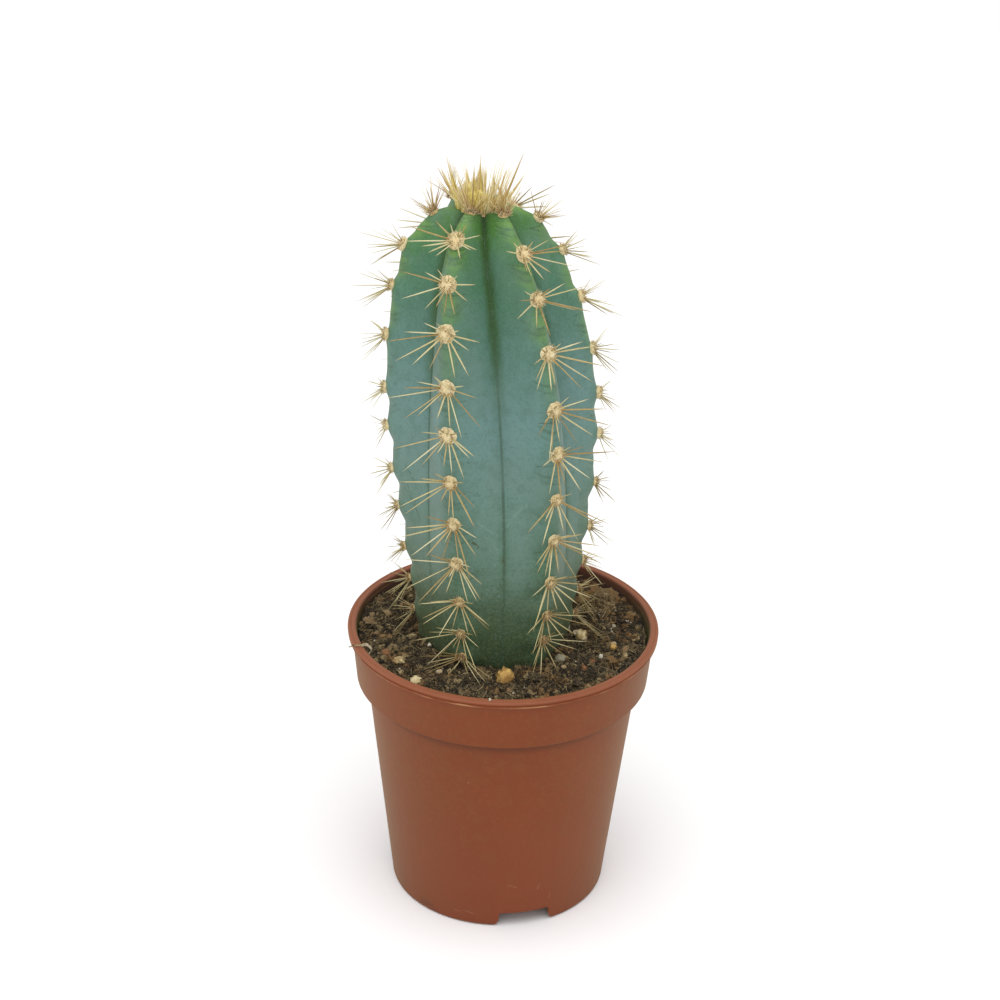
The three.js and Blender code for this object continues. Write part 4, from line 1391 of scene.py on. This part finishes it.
def set_stage():
    floor = begin(bpy.ops.mesh.primitive_plane_add, "floor", size=FLOOR_SIZE, location=(0, 0, FLOOR_LEVEL))
    shader = Shader("floor_white")
    shader.colour = (0.92, 0.92, 0.92)
    floor.data.materials.append(shader.surface(roughness=0.9, specular_ior_level=0.1))
    world = bpy.data.worlds.new("studio")
    world.use_nodes = True
    world.node_tree.nodes["Background"].inputs["Color"].default_value = (1, 1, 1, 1)
    world.node_tree.nodes["Background"].inputs["Strength"].default_value = 1.0
    bpy.context.scene.world = world
    light = bpy.data.lights.new("softbox_above", "AREA")
    light.shape = "DISK"
    light.size = LIGHT_SIZE
    light.energy = LIGHT_POWER
    lamp = bpy.data.objects.new("softbox_above", light)
    lamp.location = LIGHT_PLACE
    lamp.rotation_euler = (Vector(LIGHT_TARGET) - Vector(LIGHT_PLACE)).to_track_quat("-Z", "Y").to_euler()
    bpy.context.scene.collection.objects.link(lamp)
    bpy.context.scene.view_settings.view_transform = "Standard"


set_camera()
set_stage()

hand_over(make_pot(), "pot_plastic", pot_plastic(), "pot")
moist_peat = peat("moist_peat", [
    (0, (0.011, 0.0092, 0.007)), (0.28, (0.05, 0.038, 0.0225)), (0.5, (0.15, 0.11, 0.055)),
    (0.75, (0.31, 0.228, 0.112)), (1, (0.55, 0.44, 0.25)),
])
dry_peat = peat("dry_peat", [
    (0, (0.016, 0.011, 0.006)), (0.35, (0.075, 0.048, 0.022)), (0.7, (0.2, 0.142, 0.068)),
    (1, (0.4, 0.32, 0.18)),
])
husk = peat("dry_husk", [(0, (0.06, 0.04, 0.02)), (0.5, (0.34, 0.23, 0.11)), (1, (0.54, 0.48, 0.36))])
hand_over(make_soil(), "potting_mix", moist_peat, "soil")
hand_over(make_crumbs(), "potting_mix", moist_peat)
hand_over(make_fibres(), "potting_mix", moist_peat)
hand_over(make_clump(), "potting_mix", dry_peat)
hand_over(make_root_strand(), "potting_mix", husk)
hand_over(make_stem(), "stem_skin", stem_skin(), "cactus_stem")

wool = areole_wool()
horn = spine_horn("spine_horn", [
    (0, (0.25, 0.17, 0.052)), (0.3, (0.38, 0.285, 0.11)), (0.6, (0.49, 0.415, 0.195)),
    (1, (0.62, 0.565, 0.34)),
], (0.5, 0.3, 0.11), (0.25, 0.155, 0.05))
young_horn = spine_horn("young_horn", [
    (0, (0.3, 0.17, 0.06)), (0.4, (0.5, 0.36, 0.14)), (1, (0.72, 0.62, 0.36)),
], (0.27, 0.1, 0.045), (0.5, 0.36, 0.18))
gold = spine_horn("crown_gold", [
    (0, (0.45, 0.29, 0.09)), (0.35, (0.66, 0.5, 0.17)), (1, (0.84, 0.76, 0.46)),
], (0.62, 0.46, 0.12), (0.56, 0.41, 0.2))
areoles = all_areoles()
grown = [areole for areole in areoles if areole.newest == 0]
newest = [areole for areole in areoles if areole.newest > 0]
hand_over(make_felt(areoles), "areole_felt", wool)
hand_over(make_spines("areole_spines", grown, 11), "spines", horn)
hand_over(make_spines("newest_spines", newest, 12), "spines", young_horn)
hand_over(make_crown(), "spines", gold, "crown_tuft")
hand_over(make_crown_felt(), "areole_felt", golden_felt())
hand_over(make_crown_wool(), "areole_felt", wool)

perlite = stone("perlite", (0.6, 0.55, 0.43), (0.38, 0.33, 0.23))
amber = stone("amber_stone", (0.58, 0.37, 0.1), (0.34, 0.18, 0.045))
pale = stone("pale_stone", (0.65, 0.54, 0.3), (0.36, 0.24, 0.095))
grey = stone("grey_stone", (0.33, 0.3, 0.2), (0.16, 0.14, 0.085))
hand_over(make_specks(), "grit", perlite)
hand_over(make_chips(), "grit", chip_flakes())
stone_looks = [amber, pale, pale, pale, grey, amber, pale, pale, grey]
for number, (spot, material) in enumerate(zip(GRIT, stone_looks), 1):
    hand_over(make_stone(number, *spot), "grit", material, f"grit_{number}")
